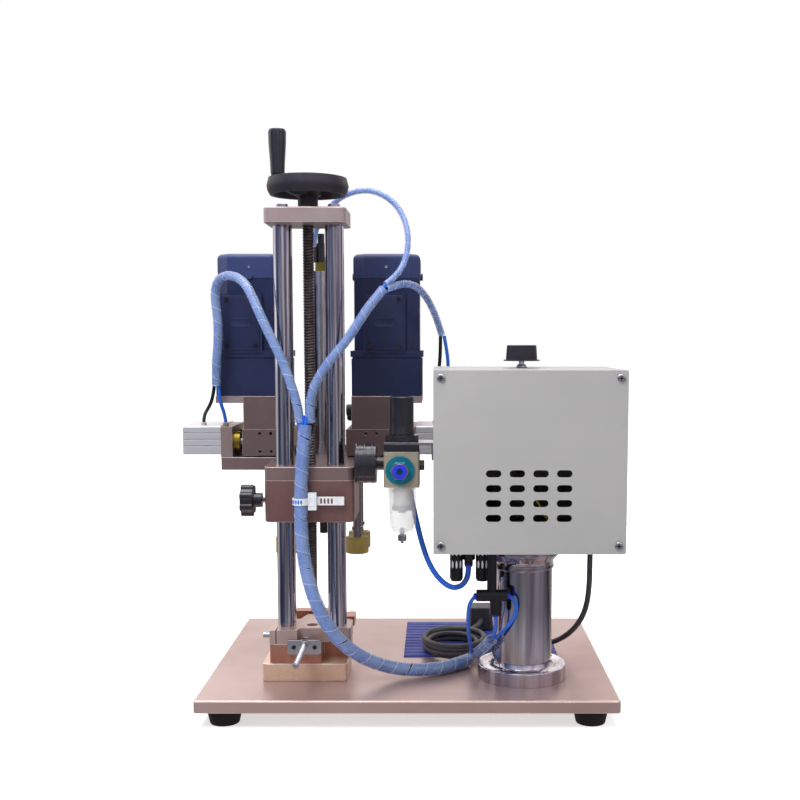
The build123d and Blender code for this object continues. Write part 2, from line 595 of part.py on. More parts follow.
def control_box():
    x0, x1 = BOX_X0, BOX_X0 + BOX_W
    shell = rounded(x0, x1, BOX_Y0, BOX_Y1, BOX_Z0, BOX_Z1, 2)
    wall = BOX_WALL
    shell -= block(x0 + wall, x1 - wall, BOX_Y0, BOX_Y1 - wall, BOX_Z0 + wall, BOX_Z1 - wall)
    lips = block(x0, x1, BOX_Y0, BOX_Y0 + BOX_WALL, BOX_Z0, BOX_Z1)
    lips -= block(x0 + 16, x1 - 16, BOX_Y0, BOX_Y0 + BOX_WALL, BOX_Z0 + 16, BOX_Z1 - 16)
    shell += lips
    for x in (x0 + 60, x0 + 130):
        shell += block(x - 28, x + 28, BOX_Y1 - BOX_WALL - 45, BOX_Y1 - BOX_WALL, 240, 320)
    for x, y in FLOOR_HOLES:
        shell -= post(x, y, BOX_Z0, BOX_Z0 + BOX_WALL, FITTING_R)
    shell -= post(GLAND_X, GLAND_Y, BOX_Z0, BOX_Z0 + BOX_WALL, 6)
    for x, z in COVER_SCREWS:
        shell -= bar_y(x, BOX_Y0, BOX_Y0 + BOX_WALL, z, 2)
    return shell - post(POT_X, POT_Y, BOX_Z1 - BOX_WALL, BOX_Z1, 3.5)


def box_cover():
    x0, x1 = BOX_X0, BOX_X0 + BOX_W
    plate = block(x0, x1, BOX_Y0 - COVER_T, BOX_Y0, BOX_Z0, BOX_Z1)
    plate = fillet(plate.edges().filter_by(Axis.Y), 3)
    for column in range(4):
        for row in range(4):
            x = SLOT_X + column * SLOT_DX
            z = SLOT_Z - row * SLOT_DZ
            front = BOX_Y0 - COVER_T
            slot = block(x - 4, x + 4, front, BOX_Y0, z - SLOT_R, z + SLOT_R)
            slot += bar_y(x - 4, front, BOX_Y0, z, SLOT_R) + bar_y(x + 4, front, BOX_Y0, z, SLOT_R)
            plate -= slot
    for x, z in COVER_SCREWS:
        plate -= bar_y(x, BOX_Y0 - COVER_T, BOX_Y0, z, 2)
    return plate


def pan_screws():
    screws = []
    for x, z in COVER_SCREWS:
        front = BOX_Y0 - COVER_T
        head = bar_y(x, front - 2.4, front, z, 4.2)
        head = fillet(head.edges().filter_by(GeomType.CIRCLE).sort_by(Axis.Y)[0], 1.6)
        screws.append(head + bar_y(x, front, BOX_Y0 + BOX_WALL + 3, z, 2))
    return Compound(screws)


def solenoid_valve():
    body = block(VALVE_X0, VALVE_X1, -118, -90, BOX_Z0 + 12, BOX_Z0 + 40)
    coil = block(VALVE_X0 + 8, VALVE_X0 + 34, -116, -92, BOX_Z0 + 40, BOX_Z0 + 78)
    valve = body + coil
    for x in MUFFLER_XS:
        valve += post(x, VALVE_Y, BOX_Z0, BOX_Z0 + 12, FITTING_R)
        valve += post(x, VALVE_Y, 142, BOX_Z0, 6.9) + taper(x, VALVE_Y, 139.5, 142, 5.5, 6.9)
    valve += post(FEED_X, VALVE_Y, BOX_Z0, BOX_Z0 + 12, FITTING_R)
    valve += hexagon_z(FEED_X, VALVE_Y, 162, BOX_Z0, 12) + post(FEED_X, VALVE_Y, 157, 162, 4.6)
    valve += post(TEE_X, TEE_Y, BOX_Z0, BOX_Z0 + 12, FITTING_R) + post(TEE_X, TEE_Y, 131, BOX_Z0, 5)
    valve += hexagon_z(TEE_X, TEE_Y, 172, BOX_Z0, 12)
    valve += bar_x(TEE_X - 16, TEE_X + 16, TEE_Y, 127, 6.2) + post(TEE_X + 4, TEE_Y, 107, 127, 6)
    return valve


def cable_gland():
    gland = post(GLAND_X, GLAND_Y, BOX_Z0, BOX_Z0 + 8, 6) + hexagon_z(GLAND_X, GLAND_Y, 174, BOX_Z0, 15)
    gland += taper(GLAND_X, GLAND_Y, GLAND_END, 174, 5, 6.4)
    return gland - post(GLAND_X, GLAND_Y, GLAND_END, BOX_Z0 + 8, MAINS_R + RUN)


def speed_knob():
    z = BOX_Z1
    knob = post(POT_X, POT_Y, z + 7.5, z + 8.7, 19) + taper(POT_X, POT_Y, z + 8.7, z + 24, 16.5, 15.5)
    knob = fillet(knob.edges().group_by(Axis.Z)[-1], 1)
    for k in range(24):
        turn = 2 * pi * k / 24
        knob -= post(POT_X + 17 * cos(turn), POT_Y + 17 * sin(turn), z + 9.5, z + 24, 1.1)
    return knob + post(POT_X, POT_Y, z - 12, z + 7.5, 3)


def regulator_bracket():
    plate = block(REG_X - 18, BOX_X0, REG_Y - 17.5, REG_Y + 17.5, 284.2, 286.2)
    plate -= post(REG_X, REG_Y, 284.2, 286.2, 14)
    tab = block(BOX_X0 - 2, BOX_X0, REG_Y - 17.5, REG_Y + 17.5, 268, 285)
    return plate + tab


def regulator_body():
    x0, x1 = REG_X - REG_W / 2, REG_X + REG_W / 2
    y0, y1 = REG_Y - REG_D / 2, REG_Y + REG_D / 2
    body = rounded(x0, x1, y0, y1, REG_Z0, REG_Z1, 3)
    body += rounded(x0 + 0.5, x1 - 0.5, y0 + 0.5, y1 - 0.5, REG_Z1, 284, 3)
    body += post(REG_X, REG_Y, 284, 286.4, 13.8) + post(REG_X, REG_Y, 286.4, 293, 17.5)
    body += bar_y(REG_X, y1, y1 + 7, 257, 6.5) + hexagon_side(x1)
    body -= post(REG_X, REG_Y, REG_Z0, REG_Z0 + 5, 15)
    body -= bar_y(REG_X, y1, y1 + 7, 257, FEED_R)
    body -= bar_y(REG_X - 1.5, y0, y0 + 4, 257.5, 7)
    return body - bar_x(x0, x0 + 4, REG_Y, 263, 4)


def hexagon_side(x):
    flat = Plane(origin=(x, REG_Y - 8, 262), x_dir=(0, 1, 0), z_dir=(1, 0, 0))
    return extrude(flat * RegularPolygon(5, 6, major_radius=False), amount=5)


def inlet_fitting():
    front = REG_Y - REG_D / 2
    x, z = REG_X - 1.5, 257.5
    fitting = bar_y(x, front, front + 4, z, 7) + bar_y(x, front - 2, front, z, 15)
    fitting += hexagon_y(x, front - 9, front - 2, z, 17) + bar_y(x, front - 12, front - 9, z, 7.4)
    return fitting - bar_y(x, front - 12, front + 1, z, 3.2)


def regulator_knob():
    knob = taper(REG_X, REG_Y, 293.3, 297, 13.4, 13) + taper(REG_X, REG_Y, 297, 302, 13, 12.4)
    knob += post(REG_X, REG_Y, 302, 333, 12.4)
    return fillet(knob.edges().group_by(Axis.Z)[-1], 1.5)


def regulator_bowl():
    outer = [(0, 188.5), (6, 188.5), (10.5, 190.2), (13.4, 193.2), (14.4, 198), (15, REG_Z0 + 5),
             (13, REG_Z0 + 5), (12.5, 198.5), (11.6, 194.6), (9.4, 192.2), (6, 190.8), (0, 190.8)]
    bowl = turned(REG_X, REG_Y, outer)
    return bowl - post(REG_X, REG_Y, 187, 193, 2.5 + RUN)


def filter_element():
    element = post(REG_X, REG_Y, 219, REG_Z0 + 5, 9) + taper(REG_X, REG_Y, 214, 219, 11, 10)
    return element + post(REG_X, REG_Y, 211, 214, 4)


def drain_valve():
    stem = post(REG_X, REG_Y, 181, 195, 2.5) + post(REG_X, REG_Y, 181, 187.5, 4.6)
    return stem + post(REG_X, REG_Y, 178.5, 181, 1.6)


def pressure_gauge():
    x1 = REG_X - REG_W / 2
    y, z = REG_Y, 263
    case = bar_x(x1 - 30, x1 - 8, y, z, 20.5) - bar_x(x1 - 30, x1 - 22, y, z, 18)
    case += bar_x(x1 - 30, x1 - 28.5, y, z, 18.2)
    return case + bar_x(x1 - 8, x1, y, z, 6) + bar_x(x1, x1 + 4, y, z, 4)


def gauge_needle():
    x = REG_X - REG_W / 2 - 25
    needle = bar_x(x - 1, x + 1, REG_Y, 263, 2.5)
    return needle + block(x - 0.4, x + 0.4, REG_Y - 0.7, REG_Y + 0.7, 251, 265)


def blue_mat():
    mat = block(-8, 168, -12, 142, TOP, TOP + 1)
    for k in range(12):
        y = -8 + 12.5 * k
        mat += block(-8, 168, y, y + 4, TOP + 1, MAT_TOP)
    return mat


def main_bundle():
    return tube("main_bundle", MAIN_ROUTE, MAIN_R)


def left_cables():
    wrap = tube("left branch", LEFT_ROUTE, BRANCH_R)
    cable = tube("left cable", LEFT_CABLE, AIR_TUBE_R)
    air = tube("left air tube", LEFT_AIR, AIR_TUBE_R)
    return Compound([wrap, cable, air])


def right_cables():
    wrap = tube("right branch", RIGHT_ROUTE, BRANCH_R)
    loop = tube("top loop", TOP_LOOP, LOOP_R)
    side = tube("right loop", RIGHT_LOOP, SIDE_R)
    cable = tube("right cable", RIGHT_CABLE, AIR_TUBE_R)
    air = tube("right air tube", RIGHT_AIR, AIR_TUBE_R)
    return Compound([wrap, loop, side, cable, air])


def tee_tubes():
    left = tube("tee tube left", TEE_LEFT, AIR_TUBE_R)
    middle = tube("tee tube middle", TEE_MIDDLE, AIR_TUBE_R)
    right = tube("tee tube right", TEE_RIGHT, AIR_TUBE_R)
    wrap = tube("short wrap", SHORT_WRAP, 6)
    return Compound([left, middle, right, wrap])


def regulator_tube():
    return tube("regulator tube", FEED_ROUTE, FEED_R)


def power_cord():
    return Compound([tube("power cord", MAINS_ROUTE, MAINS_R), tube("plug lead", PLUG_LEAD, MAINS_R)])


def power_cord_coil():
    coil = Pos(50, 14, MAT_TOP) * extrude(Ellipse(42, 50), amount=21)
    return fillet(coil.edges().group_by(Axis.Z)[-1], 7)


def power_plug():
    return rounded(71, 99, 98, 128, MAT_TOP, 61, 5)


NODES = {
    "base_plate": base_plate, "rubber_feet": rubber_feet, "column_foot": column_foot,
    "column_seat": column_seat, "column_clamp": column_clamp, "nut_plate": nut_plate,
    "guide_columns": guide_columns, "top_plate": top_plate, "lead_screw": lead_screw,
    "handwheel": handwheel, "crank_grip": crank_grip, "adjusting_rod": adjusting_rod,
    "v_block": v_block, "cross_plate": cross_plate, "bearing_block": bearing_block,
    "lock_knob": lock_knob, "end_plates": end_plates, "air_cylinders": air_cylinders,
    "press_cylinder": press_cylinder, "press_rod": press_rod, "cable_tie": cable_tie,
    "control_post": control_post, "control_box": control_box, "box_cover": box_cover,
    "pan_screws": pan_screws, "solenoid_valve": solenoid_valve, "cable_gland": cable_gland,
    "speed_knob": speed_knob, "regulator_bracket": regulator_bracket,
    "regulator_body": regulator_body, "inlet_fitting": inlet_fitting,
    "regulator_knob": regulator_knob, "regulator_bowl": regulator_bowl,
    "filter_element": filter_element, "drain_valve": drain_valve,
    "pressure_gauge": pressure_gauge, "gauge_needle": gauge_needle, "blue_mat": blue_mat,
    "main_bundle": main_bundle, "left_cables": left_cables, "right_cables": right_cables,
    "tee_tubes": tee_tubes, "regulator_tube": regulator_tube,
    "power_cord": power_cord, "power_cord_coil": power_cord_coil, "power_plug": power_plug,
}

parts = {node: make() for node, make in NODES.items()}
for side, word in ((-1, "left"), (1, "right")):
    parts[f"slide_block_{word}"] = slide_block(side)
    parts[f"motor_bracket_{word}"] = motor_bracket(side)
    parts[f"gear_motor_{word}"] = gear_motor(side)
    parts[f"drive_pulley_{word}"] = drive_pulley(side)
    parts[f"drive_belt_{word}"] = drive_belt(side)
    parts[f"roller_{word}_rear"] = roller(side, -1)
    parts[f"roller_{word}_front"] = roller(side, 1)

os.makedirs("parts", exist_ok=True)
to_origin = Pos(-ORIGIN_X, -ORIGIN_Y, 0)
for node, shape in parts.items():
    export_step(to_origin * shape, f"parts/{node}.step")
print("nodes", len(parts), "origin moved by", -ORIGIN_X, -ORIGIN_Y)
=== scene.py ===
"""Looks of the bottle capping machine: finishes for its solids, and its cords, threads and small parts."""
import json
from contextlib import contextmanager
from math import cos, hypot, radians, sin, tau

import bpy
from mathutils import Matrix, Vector


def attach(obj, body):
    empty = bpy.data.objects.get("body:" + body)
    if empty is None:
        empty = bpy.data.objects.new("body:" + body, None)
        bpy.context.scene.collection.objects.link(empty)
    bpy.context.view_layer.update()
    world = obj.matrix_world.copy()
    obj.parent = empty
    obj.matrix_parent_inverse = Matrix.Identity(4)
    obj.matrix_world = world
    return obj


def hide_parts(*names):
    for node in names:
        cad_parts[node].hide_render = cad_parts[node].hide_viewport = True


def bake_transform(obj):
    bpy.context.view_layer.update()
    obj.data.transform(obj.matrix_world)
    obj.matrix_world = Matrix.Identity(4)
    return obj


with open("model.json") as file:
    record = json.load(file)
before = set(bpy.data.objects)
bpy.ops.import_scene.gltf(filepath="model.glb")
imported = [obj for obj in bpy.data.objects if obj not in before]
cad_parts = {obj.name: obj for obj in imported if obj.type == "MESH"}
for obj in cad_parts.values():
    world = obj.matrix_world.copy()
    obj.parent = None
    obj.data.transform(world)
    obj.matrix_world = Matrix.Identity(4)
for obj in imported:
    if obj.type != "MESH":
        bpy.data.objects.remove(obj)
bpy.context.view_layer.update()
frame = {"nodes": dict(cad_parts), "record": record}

NODES = frame["nodes"]
BODY_OF = {}
for body_name, members in frame["record"]["behaviour"]["bodies"].items():
    for member in members:
        BODY_OF[member] = body_name

# Sizes below are in millimetres from the middle of the base plate, with the floor at z = 0
MM = 0.001
SHIFT_X = 20.5
SHIFT_Y = 8.5
AXIS_X = -104.0
COL_Y = -77.0
CAP_Y = 48.0
REG_X = -6.5


def at(x, y, z):
    return Vector(((x + SHIFT_X) * MM, (y + SHIFT_Y) * MM, z * MM))


# Camera, light and floor

CAMERA_PLACE = (31.15, -1238.17, 392.36)
CAMERA_PITCH = 5.437
LENS = 49.5
LENS_SHIFT = (-0.0475, 0.0546)


def add_camera():
    data = bpy.data.cameras.new("view")
    data.lens = LENS
    data.sensor_width = 36.0
    data.shift_x, data.shift_y = LENS_SHIFT
    data.clip_end = 50
    camera = bpy.data.objects.new("view", data)
    camera.location = at(*CAMERA_PLACE)
    camera.rotation_euler = (radians(90 - CAMERA_PITCH), 0, 0)
    bpy.context.scene.collection.objects.link(camera)
    bpy.context.scene.camera = camera


def area_light(name, place, aim, size, power, mirrored=False):
    data = bpy.data.lights.new(name, "AREA")
    data.shape = "RECTANGLE"
    data.size, data.size_y = size
    data.energy = power
    lamp = bpy.data.objects.new(name, data)
    lamp.visible_glossy = mirrored
    lamp.visible_camera = False
    lamp.location = place
    lamp.rotation_euler = (Vector(aim) - Vector(place)).to_track_quat("-Z", "Y").to_euler()
    bpy.context.scene.collection.objects.link(lamp)


def add_node(tree, kind, inputs=(), **settings):
    """A node with its settings; its inputs, by number or name, are linked to a socket or set to a value."""
    node = tree.nodes.new("ShaderNode" + kind)
    for label, value in settings.items():
        setattr(node, label, value)
    for key, value in inputs.items() if isinstance(inputs, dict) else enumerate(inputs):
        if isinstance(value, bpy.types.NodeSocket):
            tree.links.new(value, node.inputs[key])
        else:
            node.inputs[key].default_value = value
    return node


def ranged(tree, value, source, target):
    return add_node(tree, "MapRange", [value, *source, *target]).outputs[0]


def blend_colours(tree, mask, first, second):
    return add_node(tree, "Mix", {"Factor": mask, 6: first, 7: second}, data_type="RGBA").outputs[2]


def tint(code):
    """A colour from its web code, as Blender's linear numbers."""
    channels = [int(code[i:i + 2], 16) / 255 for i in (1, 3, 5)]
    return tuple([c / 12.92 if c <= 0.04045 else ((c + 0.055) / 1.055) ** 2.4 for c in channels] + [1.0])


WHITE = (1, 1, 1, 1)
SOFT_TONE = (0.97, 0.98, 1.0, 1)
SOFT_STRENGTH = 0.31
PAPER = (0.9, 0.9, 0.9, 1)
BENCH = (0.36, 0.3, 0.28, 1)

# What bright metal sees round it, by compass angle: 0.25 is straight ahead of the machine, 0 and 1 its left
ROOM_TONES = [(0.0, "#eeeef4"), (0.03, "#a3a6b8"), (0.055, "#4a4f6c"), (0.1, "#6b7190"), (0.17, "#9ba0b4"),
              (0.25, "#8d8d96"), (0.31, "#c3bdc4"), (0.36, "#928799"), (0.4, "#c6bcca"), (0.47, "#a49ba6"),
              (0.53, "#5b5564"), (0.6, "#cbbfbf"), (0.7, "#ded6d4"), (0.8, "#ece6e4"), (0.93, "#e3d8dc"),
              (0.975, "#f6f4f8")]


def room_tones(tree, where):
    """The tones of the room round the machine, from a direction or a place on the floor."""
    angle = add_node(tree, "TexGradient", [where], gradient_type="RADIAL")
    ramp = add_node(tree, "ValToRGB", [angle.outputs["Fac"]])
    stops = ramp.color_ramp.elements
    while len(stops) < len(ROOM_TONES):
        stops.new(0.5)
    for stop, (place, code) in zip(stops, ROOM_TONES):
        stop.position = place
        stop.color = tint(code)
    return ramp.outputs["Color"]


def straight_rays(tree, path):
    """1 for rays from the camera, also through something clear: they see plain white."""
    rays = [path["Is Camera Ray"], path["Is Transmission Ray"]]
    return add_node(tree, "Math", rays, operation="MAXIMUM").outputs[0]


def light_the_room():
    area_light("roof_softbox", (-0.15, -0.1, 1.9), (0.05, 0, 0.2), (1.7, 1.5), 25, True)
    area_light("left_softbox", (-0.35, -0.75, 0.95), (0.0, -0.1, 0.4), (0.35, 0.35), 6.0)
    area_light("right_softbox", (1.9, -0.35, 0.9), (0, 0, 0.3), (0.5, 1.4), 6.5)
    world = bpy.data.worlds.new("room")
    bpy.context.scene.world = world
    world.use_nodes = True
    tree = world.node_tree
    tree.nodes.clear()
    path = add_node(tree, "LightPath").outputs
    where = add_node(tree, "TexCoord").outputs["Generated"]
    height = add_node(tree, "SeparateXYZ", [where]).outputs["Z"]
    soft = add_node(tree, "Background", [SOFT_TONE, SOFT_STRENGTH])
    strength = ranged(tree, height, (0.0, 0.75), (0.95, 2.2))
    shiny = add_node(tree, "Background", [room_tones(tree, where), strength])
    white = add_node(tree, "Background", [WHITE, 1.0])
    pick = add_node(tree, "MixShader", [path["Is Glossy Ray"], soft.outputs[0], shiny.outputs[0]])
    mix = add_node(tree, "MixShader", [straight_rays(tree, path), pick.outputs[0], white.outputs[0]])
    add_node(tree, "OutputWorld", [mix.outputs[0]])
    bpy.context.scene.view_settings.view_transform = "Standard"


def add_floor():
    """Pale paper that keeps the machine's shadow. Bright metal sees a brown bench in it, near the machine."""
    bpy.ops.object.select_all(action="DESELECT")
    bpy.ops.mesh.primitive_plane_add(size=30, location=(0, 0, 0))
    floor = bpy.context.object
    floor.name = "floor"
    material = bpy.data.materials.new("floor_paper")
    material.use_nodes = True
    tree = material.node_tree
    shader = tree.nodes["Principled BSDF"]
    for label, value in (("Base Color", PAPER), ("Roughness", 1.0), ("Specular IOR Level", 0.0),
                         ("Emission Color", WHITE)):
        shader.inputs[label].default_value = value
    path = add_node(tree, "LightPath").outputs
    where = add_node(tree, "TexCoord").outputs["Object"]
    reach = add_node(tree, "VectorMath", [where], operation="LENGTH").outputs["Value"]
    glow = [straight_rays(tree, path), ranged(tree, reach, (0.2, 0.7), (0.6, 1.0))]
    amount = add_node(tree, "Math", glow, operation="MULTIPLY")
    tree.links.new(amount.outputs[0], shader.inputs["Emission Strength"])
    far = ranged(tree, reach, (0.28, 0.42), (0.0, 1.0))
    bench = blend_colours(tree, far, BENCH, room_tones(tree, where))
    mirror = add_node(tree, "Emission", [bench, ranged(tree, reach, (0.35, 0.6), (1.0, 0.5))])
    mix = add_node(tree, "MixShader", [path["Is Glossy Ray"], shader.outputs[0], mirror.outputs[0]])
    tree.links.new(mix.outputs[0], tree.nodes["Material Output"].inputs["Surface"])
    floor.data.materials.append(material)


# Finishes

def new_group(name, inputs, outputs):
    group = bpy.data.node_groups.new(name, "ShaderNodeTree")
    for label, kind, value in inputs:
        socket = group.interface.new_socket(label, in_out="INPUT", socket_type=kind)
        socket.default_value = value
    for label, kind in outputs:
        group.interface.new_socket(label, in_out="OUTPUT", socket_type=kind)
    return group, group.nodes.new("NodeGroupInput"), group.nodes.new("NodeGroupOutput")


def make_grain():
    """Fine tooth of a surface, drawn out along one axis where it is brushed, with slow cloudy changes."""
    group, given, out = new_group(
        "surface_grain",
        [("Scale", "NodeSocketFloat", 900.0), ("Stretch", "NodeSocketVector", (1, 1, 1)),
         ("Cloud Scale", "NodeSocketFloat", 14.0)],
        [("Tooth", "NodeSocketFloat"), ("Cloud", "NodeSocketFloat")])
    where = add_node(group, "TexCoord").outputs["Object"]
    given = given.outputs
    drawn = add_node(group, "VectorMath", [where, given["Stretch"]], operation="MULTIPLY").outputs[0]
    tooth = add_node(group, "TexNoise", {"Vector": drawn, "Scale": given["Scale"], "Detail": 3.0})
    cloud = add_node(group, "TexNoise",
                     {"Vector": drawn, "Scale": given["Cloud Scale"], "Detail": 4.0, "Roughness": 0.6})
    group.links.new(tooth.outputs["Fac"], out.inputs["Tooth"])
    group.links.new(cloud.outputs["Fac"], out.inputs["Cloud"])
    return group


def make_edge_highlight():
    """Painted highlight along the edges: where a rounded normal turns away from the flat one, broken up by
    noise.
    """
    group, given, out = new_group(
        "edge_highlight",
        [("Amount", "NodeSocketFloat", 1.0), ("Breakup Scale", "NodeSocketFloat", 160.0)],
        [("Mask", "NodeSocketFloat")])
    rounded = add_node(group, "Bevel", {"Radius": 0.9 * MM}, samples=4)
    flat = add_node(group, "NewGeometry").outputs["Normal"]
    where = add_node(group, "TexCoord").outputs["Object"]
    dot = add_node(group, "VectorMath", [rounded.outputs[0], flat], operation="DOT_PRODUCT")
    turn = ranged(group, dot.outputs["Value"], (0.995, 0.86), (0, 1))
    noise = add_node(group, "TexNoise", {"Vector": where, "Scale": given.outputs["Breakup Scale"]})
    breakup = ranged(group, noise.outputs["Fac"], (0.35, 0.62), (0, 1))
    both = add_node(group, "Math", [turn, breakup], operation="MULTIPLY").outputs[0]
    scaled = add_node(group, "Math", [both, given.outputs["Amount"]], operation="MULTIPLY", use_clamp=True)
    group.links.new(scaled.outputs[0], out.inputs["Mask"])
    return group


GRAIN = make_grain()
# The paler edges that the finishes get are a painted highlight.
EDGE_HIGHLIGHT = make_edge_highlight()


def group_node(tree, group, **values):
    node = tree.nodes.new("ShaderNodeGroup")
    node.node_tree = group
    for label, value in values.items():
        node.inputs[label.replace("_", " ")].default_value = value
    return node.outputs


FINISH = {}


def finish(name, light, dark, rough, metal, tooth, cloud, bump, highlight_tone=None, highlight_amount=0.6, coat=0.0,
           stretch=(1, 1, 1), drift=(0.3, 0.7), **sockets):
    """A solid finish: two tones that drift into each other, edges painted paler as a highlight, and a tooth in
    the surface.
    """
    material = bpy.data.materials.new(name)
    material.use_nodes = True
    tree = material.node_tree
    shader = tree.nodes["Principled BSDF"].inputs
    grain = group_node(tree, GRAIN, Scale=tooth, Stretch=stretch, Cloud_Scale=cloud)
    colour = blend_colours(tree, ranged(tree, grain["Cloud"], drift, (0, 1)), tint(light), tint(dark))
    # Painted highlight: the edges blend into the paler tone.
    if highlight_tone:
        edge = group_node(tree, EDGE_HIGHLIGHT, Amount=highlight_amount)
        colour = blend_colours(tree, edge["Mask"], colour, tint(highlight_tone))
    relief = add_node(tree, "Bump", {"Strength": 0.25, "Distance": bump * MM, "Height": grain["Tooth"]})
    tree.links.new(colour, shader["Base Color"])
    tree.links.new(ranged(tree, grain["Cloud"], (0.3, 0.7), rough), shader["Roughness"])
    tree.links.new(relief.outputs[0], shader["Normal"])
    shader["Metallic"].default_value = metal
    shader["Coat Weight"].default_value = coat
    for label, value in sockets.items():
        shader[label.replace("_", " ")].default_value = value
    FINISH[name] = material


# The paler finish given to the bevels of machined aluminium is a painted highlight.
# Where a finish has a ninth value, it is the paler tone of its painted edge highlight, and the tenth is how
# strongly that highlight shows.
finish("highlight_champagne", "#f6e3d8", "#dcc2b5", (0.25, 0.4), 0.45, 900, 60, 0.02)
finish("base_champagne", "#c8b0ab", "#b79c97", (0.28, 0.4), 0.6, 700, 7, 0.03, "#fff2ea", 0.8)
finish("stand_gold", "#f2d3ba", "#e2bea2", (0.24, 0.34), 0.5, 1200, 20, 0.02, "#fff0e2", 0.9)
finish("stand_copper", "#cf9682", "#b67d68", (0.2, 0.32), 0.65, 1200, 26, 0.02, "#ffe0cc", 0.9)
finish("clamp_champagne", "#d3b8b0", "#c0a49c", (0.24, 0.34), 0.55, 1200, 20, 0.02, "#fff4ec", 0.9)
finish("block_brown", "#987470", "#86625f", (0.28, 0.4), 0.6, 1600, 18, 0.03, "#f0cfc0", 0.9)
finish("carriage_brown", "#9c8482", "#8c7472", (0.3, 0.42), 0.6, 1600, 18, 0.03, "#f6e0d6", 0.9)
finish("bracket_brown", "#8a7574", "#7c6766", (0.32, 0.45), 0.6, 1600, 18, 0.03, "#f2ddd4", 0.9)
finish("end_champagne", "#b19c98", "#a28c88", (0.32, 0.42), 0.6, 1600, 18, 0.03, "#fff2ea", 0.9)
finish("cap_alloy", "#b3a2a3", "#a59394", (0.32, 0.44), 0.45, 1500, 18, 0.04, "#fffaf6", 0.9)
finish("cylinder_alloy", "#e0dfe4", "#d2d1d6", (0.4, 0.5), 0.55, 1400, 10, 0.03, "#f6f6f8", 0.5,
       stretch=(0.05, 1, 1))
finish("column_chrome", "#f0eef2", "#8b8894", (0.08, 0.2), 1.0, 420, 420, 0.16, stretch=(1, 1, 0.012),
       drift=(0.42, 0.6))
finish("post_chrome", "#e2e0e3", "#a9a6ae", (0.05, 0.12), 1.0, 240, 120, 0.05, stretch=(1, 1, 0.02))
finish("bright_steel", "#d9d9dc", "#c3c3c8", (0.12, 0.22), 1.0, 900, 60, 0.01, "#f5f5f7", 0.5)
finish("lead_steel", "#8d857f", "#5d5651", (0.3, 0.45), 1.0, 900, 90, 0.02, "#cfc8c1", 0.4)
finish("dark_steel", "#5a5550", "#3e3a37", (0.3, 0.45), 1.0, 900, 60, 0.01)
finish("black_gloss", "#28262f", "#1c1b23", (0.16, 0.26), 0.0, 700, 20, 0.01, "#45434c", 0.3, 0.4)
finish("black_moulded", "#2c2932", "#201e26", (0.38, 0.5), 0.0, 1800, 25, 0.05, "#55525c", 0.4)
finish("foot_rubber", "#0b090c", "#060507", (0.6, 0.75), 0.0, 1500, 40, 0.06, "#37363b", 0.3)
finish("nylon_white", "#eef0f2", "#dfe3e8", (0.3, 0.4), 0.0, 900, 60, 0.01, Subsurface_Weight=0.3,
       Subsurface_Radius=(0.002, 0.002, 0.002))
finish("box_grey", "#b4b2b2", "#a8a7a8", (0.42, 0.52), 0.0, 2600, 5, 0.03, "#dcdad9", 0.3)
finish("cover_rim", "#6d6b6d", "#57565a", (0.4, 0.5), 0.3, 1200, 60, 0.03)
finish("clear_bowl", "#ffffff", "#fdfbfc", (0.03, 0.07), 0.0, 300, 40, 0.01, Alpha=0.32)
finish("clear_lens", "#ffffff", "#f2f4f6", (0.03, 0.06), 0.0, 300, 40, 0.005, Transmission_Weight=1.0,
       IOR=1.1)
finish("dial_white", "#f1f0ec", "#e4e3de", (0.4, 0.5), 0.0, 900, 60, 0.01)
finish("label_white", "#e6e5ea", "#d3d2da", (0.35, 0.45), 0.0, 900, 80, 0.01)
finish("slot_white", "#f4f4f4", "#dedede", (0.5, 0.6), 0.0, 900, 80, 0.01)
finish("wire_yellow", "#d9c52a", "#c0ab1c", (0.35, 0.45), 0.0, 900, 80, 0.01)
finish("valve_black", "#18181b", "#101012", (0.3, 0.42), 0.0, 900, 40, 0.02, "#3c3c42", 0.3)
finish("regulator_beige", "#b3ab99", "#9b9382", (0.35, 0.5), 0.3, 1100, 50, 0.05, "#d9d4c8", 0.5)
finish("inlet_teal", "#1d8fa8", "#10788f", (0.18, 0.28), 0.5, 900, 60, 0.01, "#7fd4e2", 0.4, 0.5)
finish("collet_blue", "#2b3be0", "#1c2bc4", (0.25, 0.35), 0.0, 900, 60, 0.01)
finish("filter_white", "#d9d6d2", "#c6c3bf", (0.6, 0.75), 0.0, 1200, 60, 0.08)
finish("needle_red", "#b3241f", "#96201b", (0.4, 0.5), 0.0, 900, 60, 0.01)
finish("mat_blue", "#3f4da6", "#333f92", (0.45, 0.6), 0.0, 900, 30, 0.05)
finish("tube_blue", "#2a6ddd", "#1f5cca", (0.2, 0.3), 0.0, 900, 60, 0.005, coat=0.3)
finish("tube_black", "#1a191c", "#121114", (0.35, 0.5), 0.0, 900, 60, 0.01)
finish("cord_grey", "#4a474b", "#38363a", (0.45, 0.6), 0.0, 900, 60, 0.02)
finish("motor_cover", "#35406e", "#2b365f", (0.4, 0.5), 0.0, 1300, 16, 0.1, "#6b78a6", 0.5)
finish("motor_navy", "#222c52", "#192242", (0.42, 0.55), 0.0, 1300, 16, 0.12, "#56648f", 0.5)
finish("pulley_alloy", "#cfcfd2", "#b9b9bd", (0.25, 0.35), 1.0, 900, 60, 0.01)
finish("brass", "#c9b24a", "#a8923a", (0.25, 0.4), 1.0, 900, 60, 0.02)
finish("roller_olive", "#c4ad5c", "#a8954a", (0.4, 0.55), 0.0, 900, 60, 0.03, "#c9bb74", 0.5,
       Subsurface_Weight=0.1)
finish("spindle_steel", "#b9b3b0", "#9b9592", (0.2, 0.3), 1.0, 900, 60, 0.01, stretch=(1, 1, 0.1))
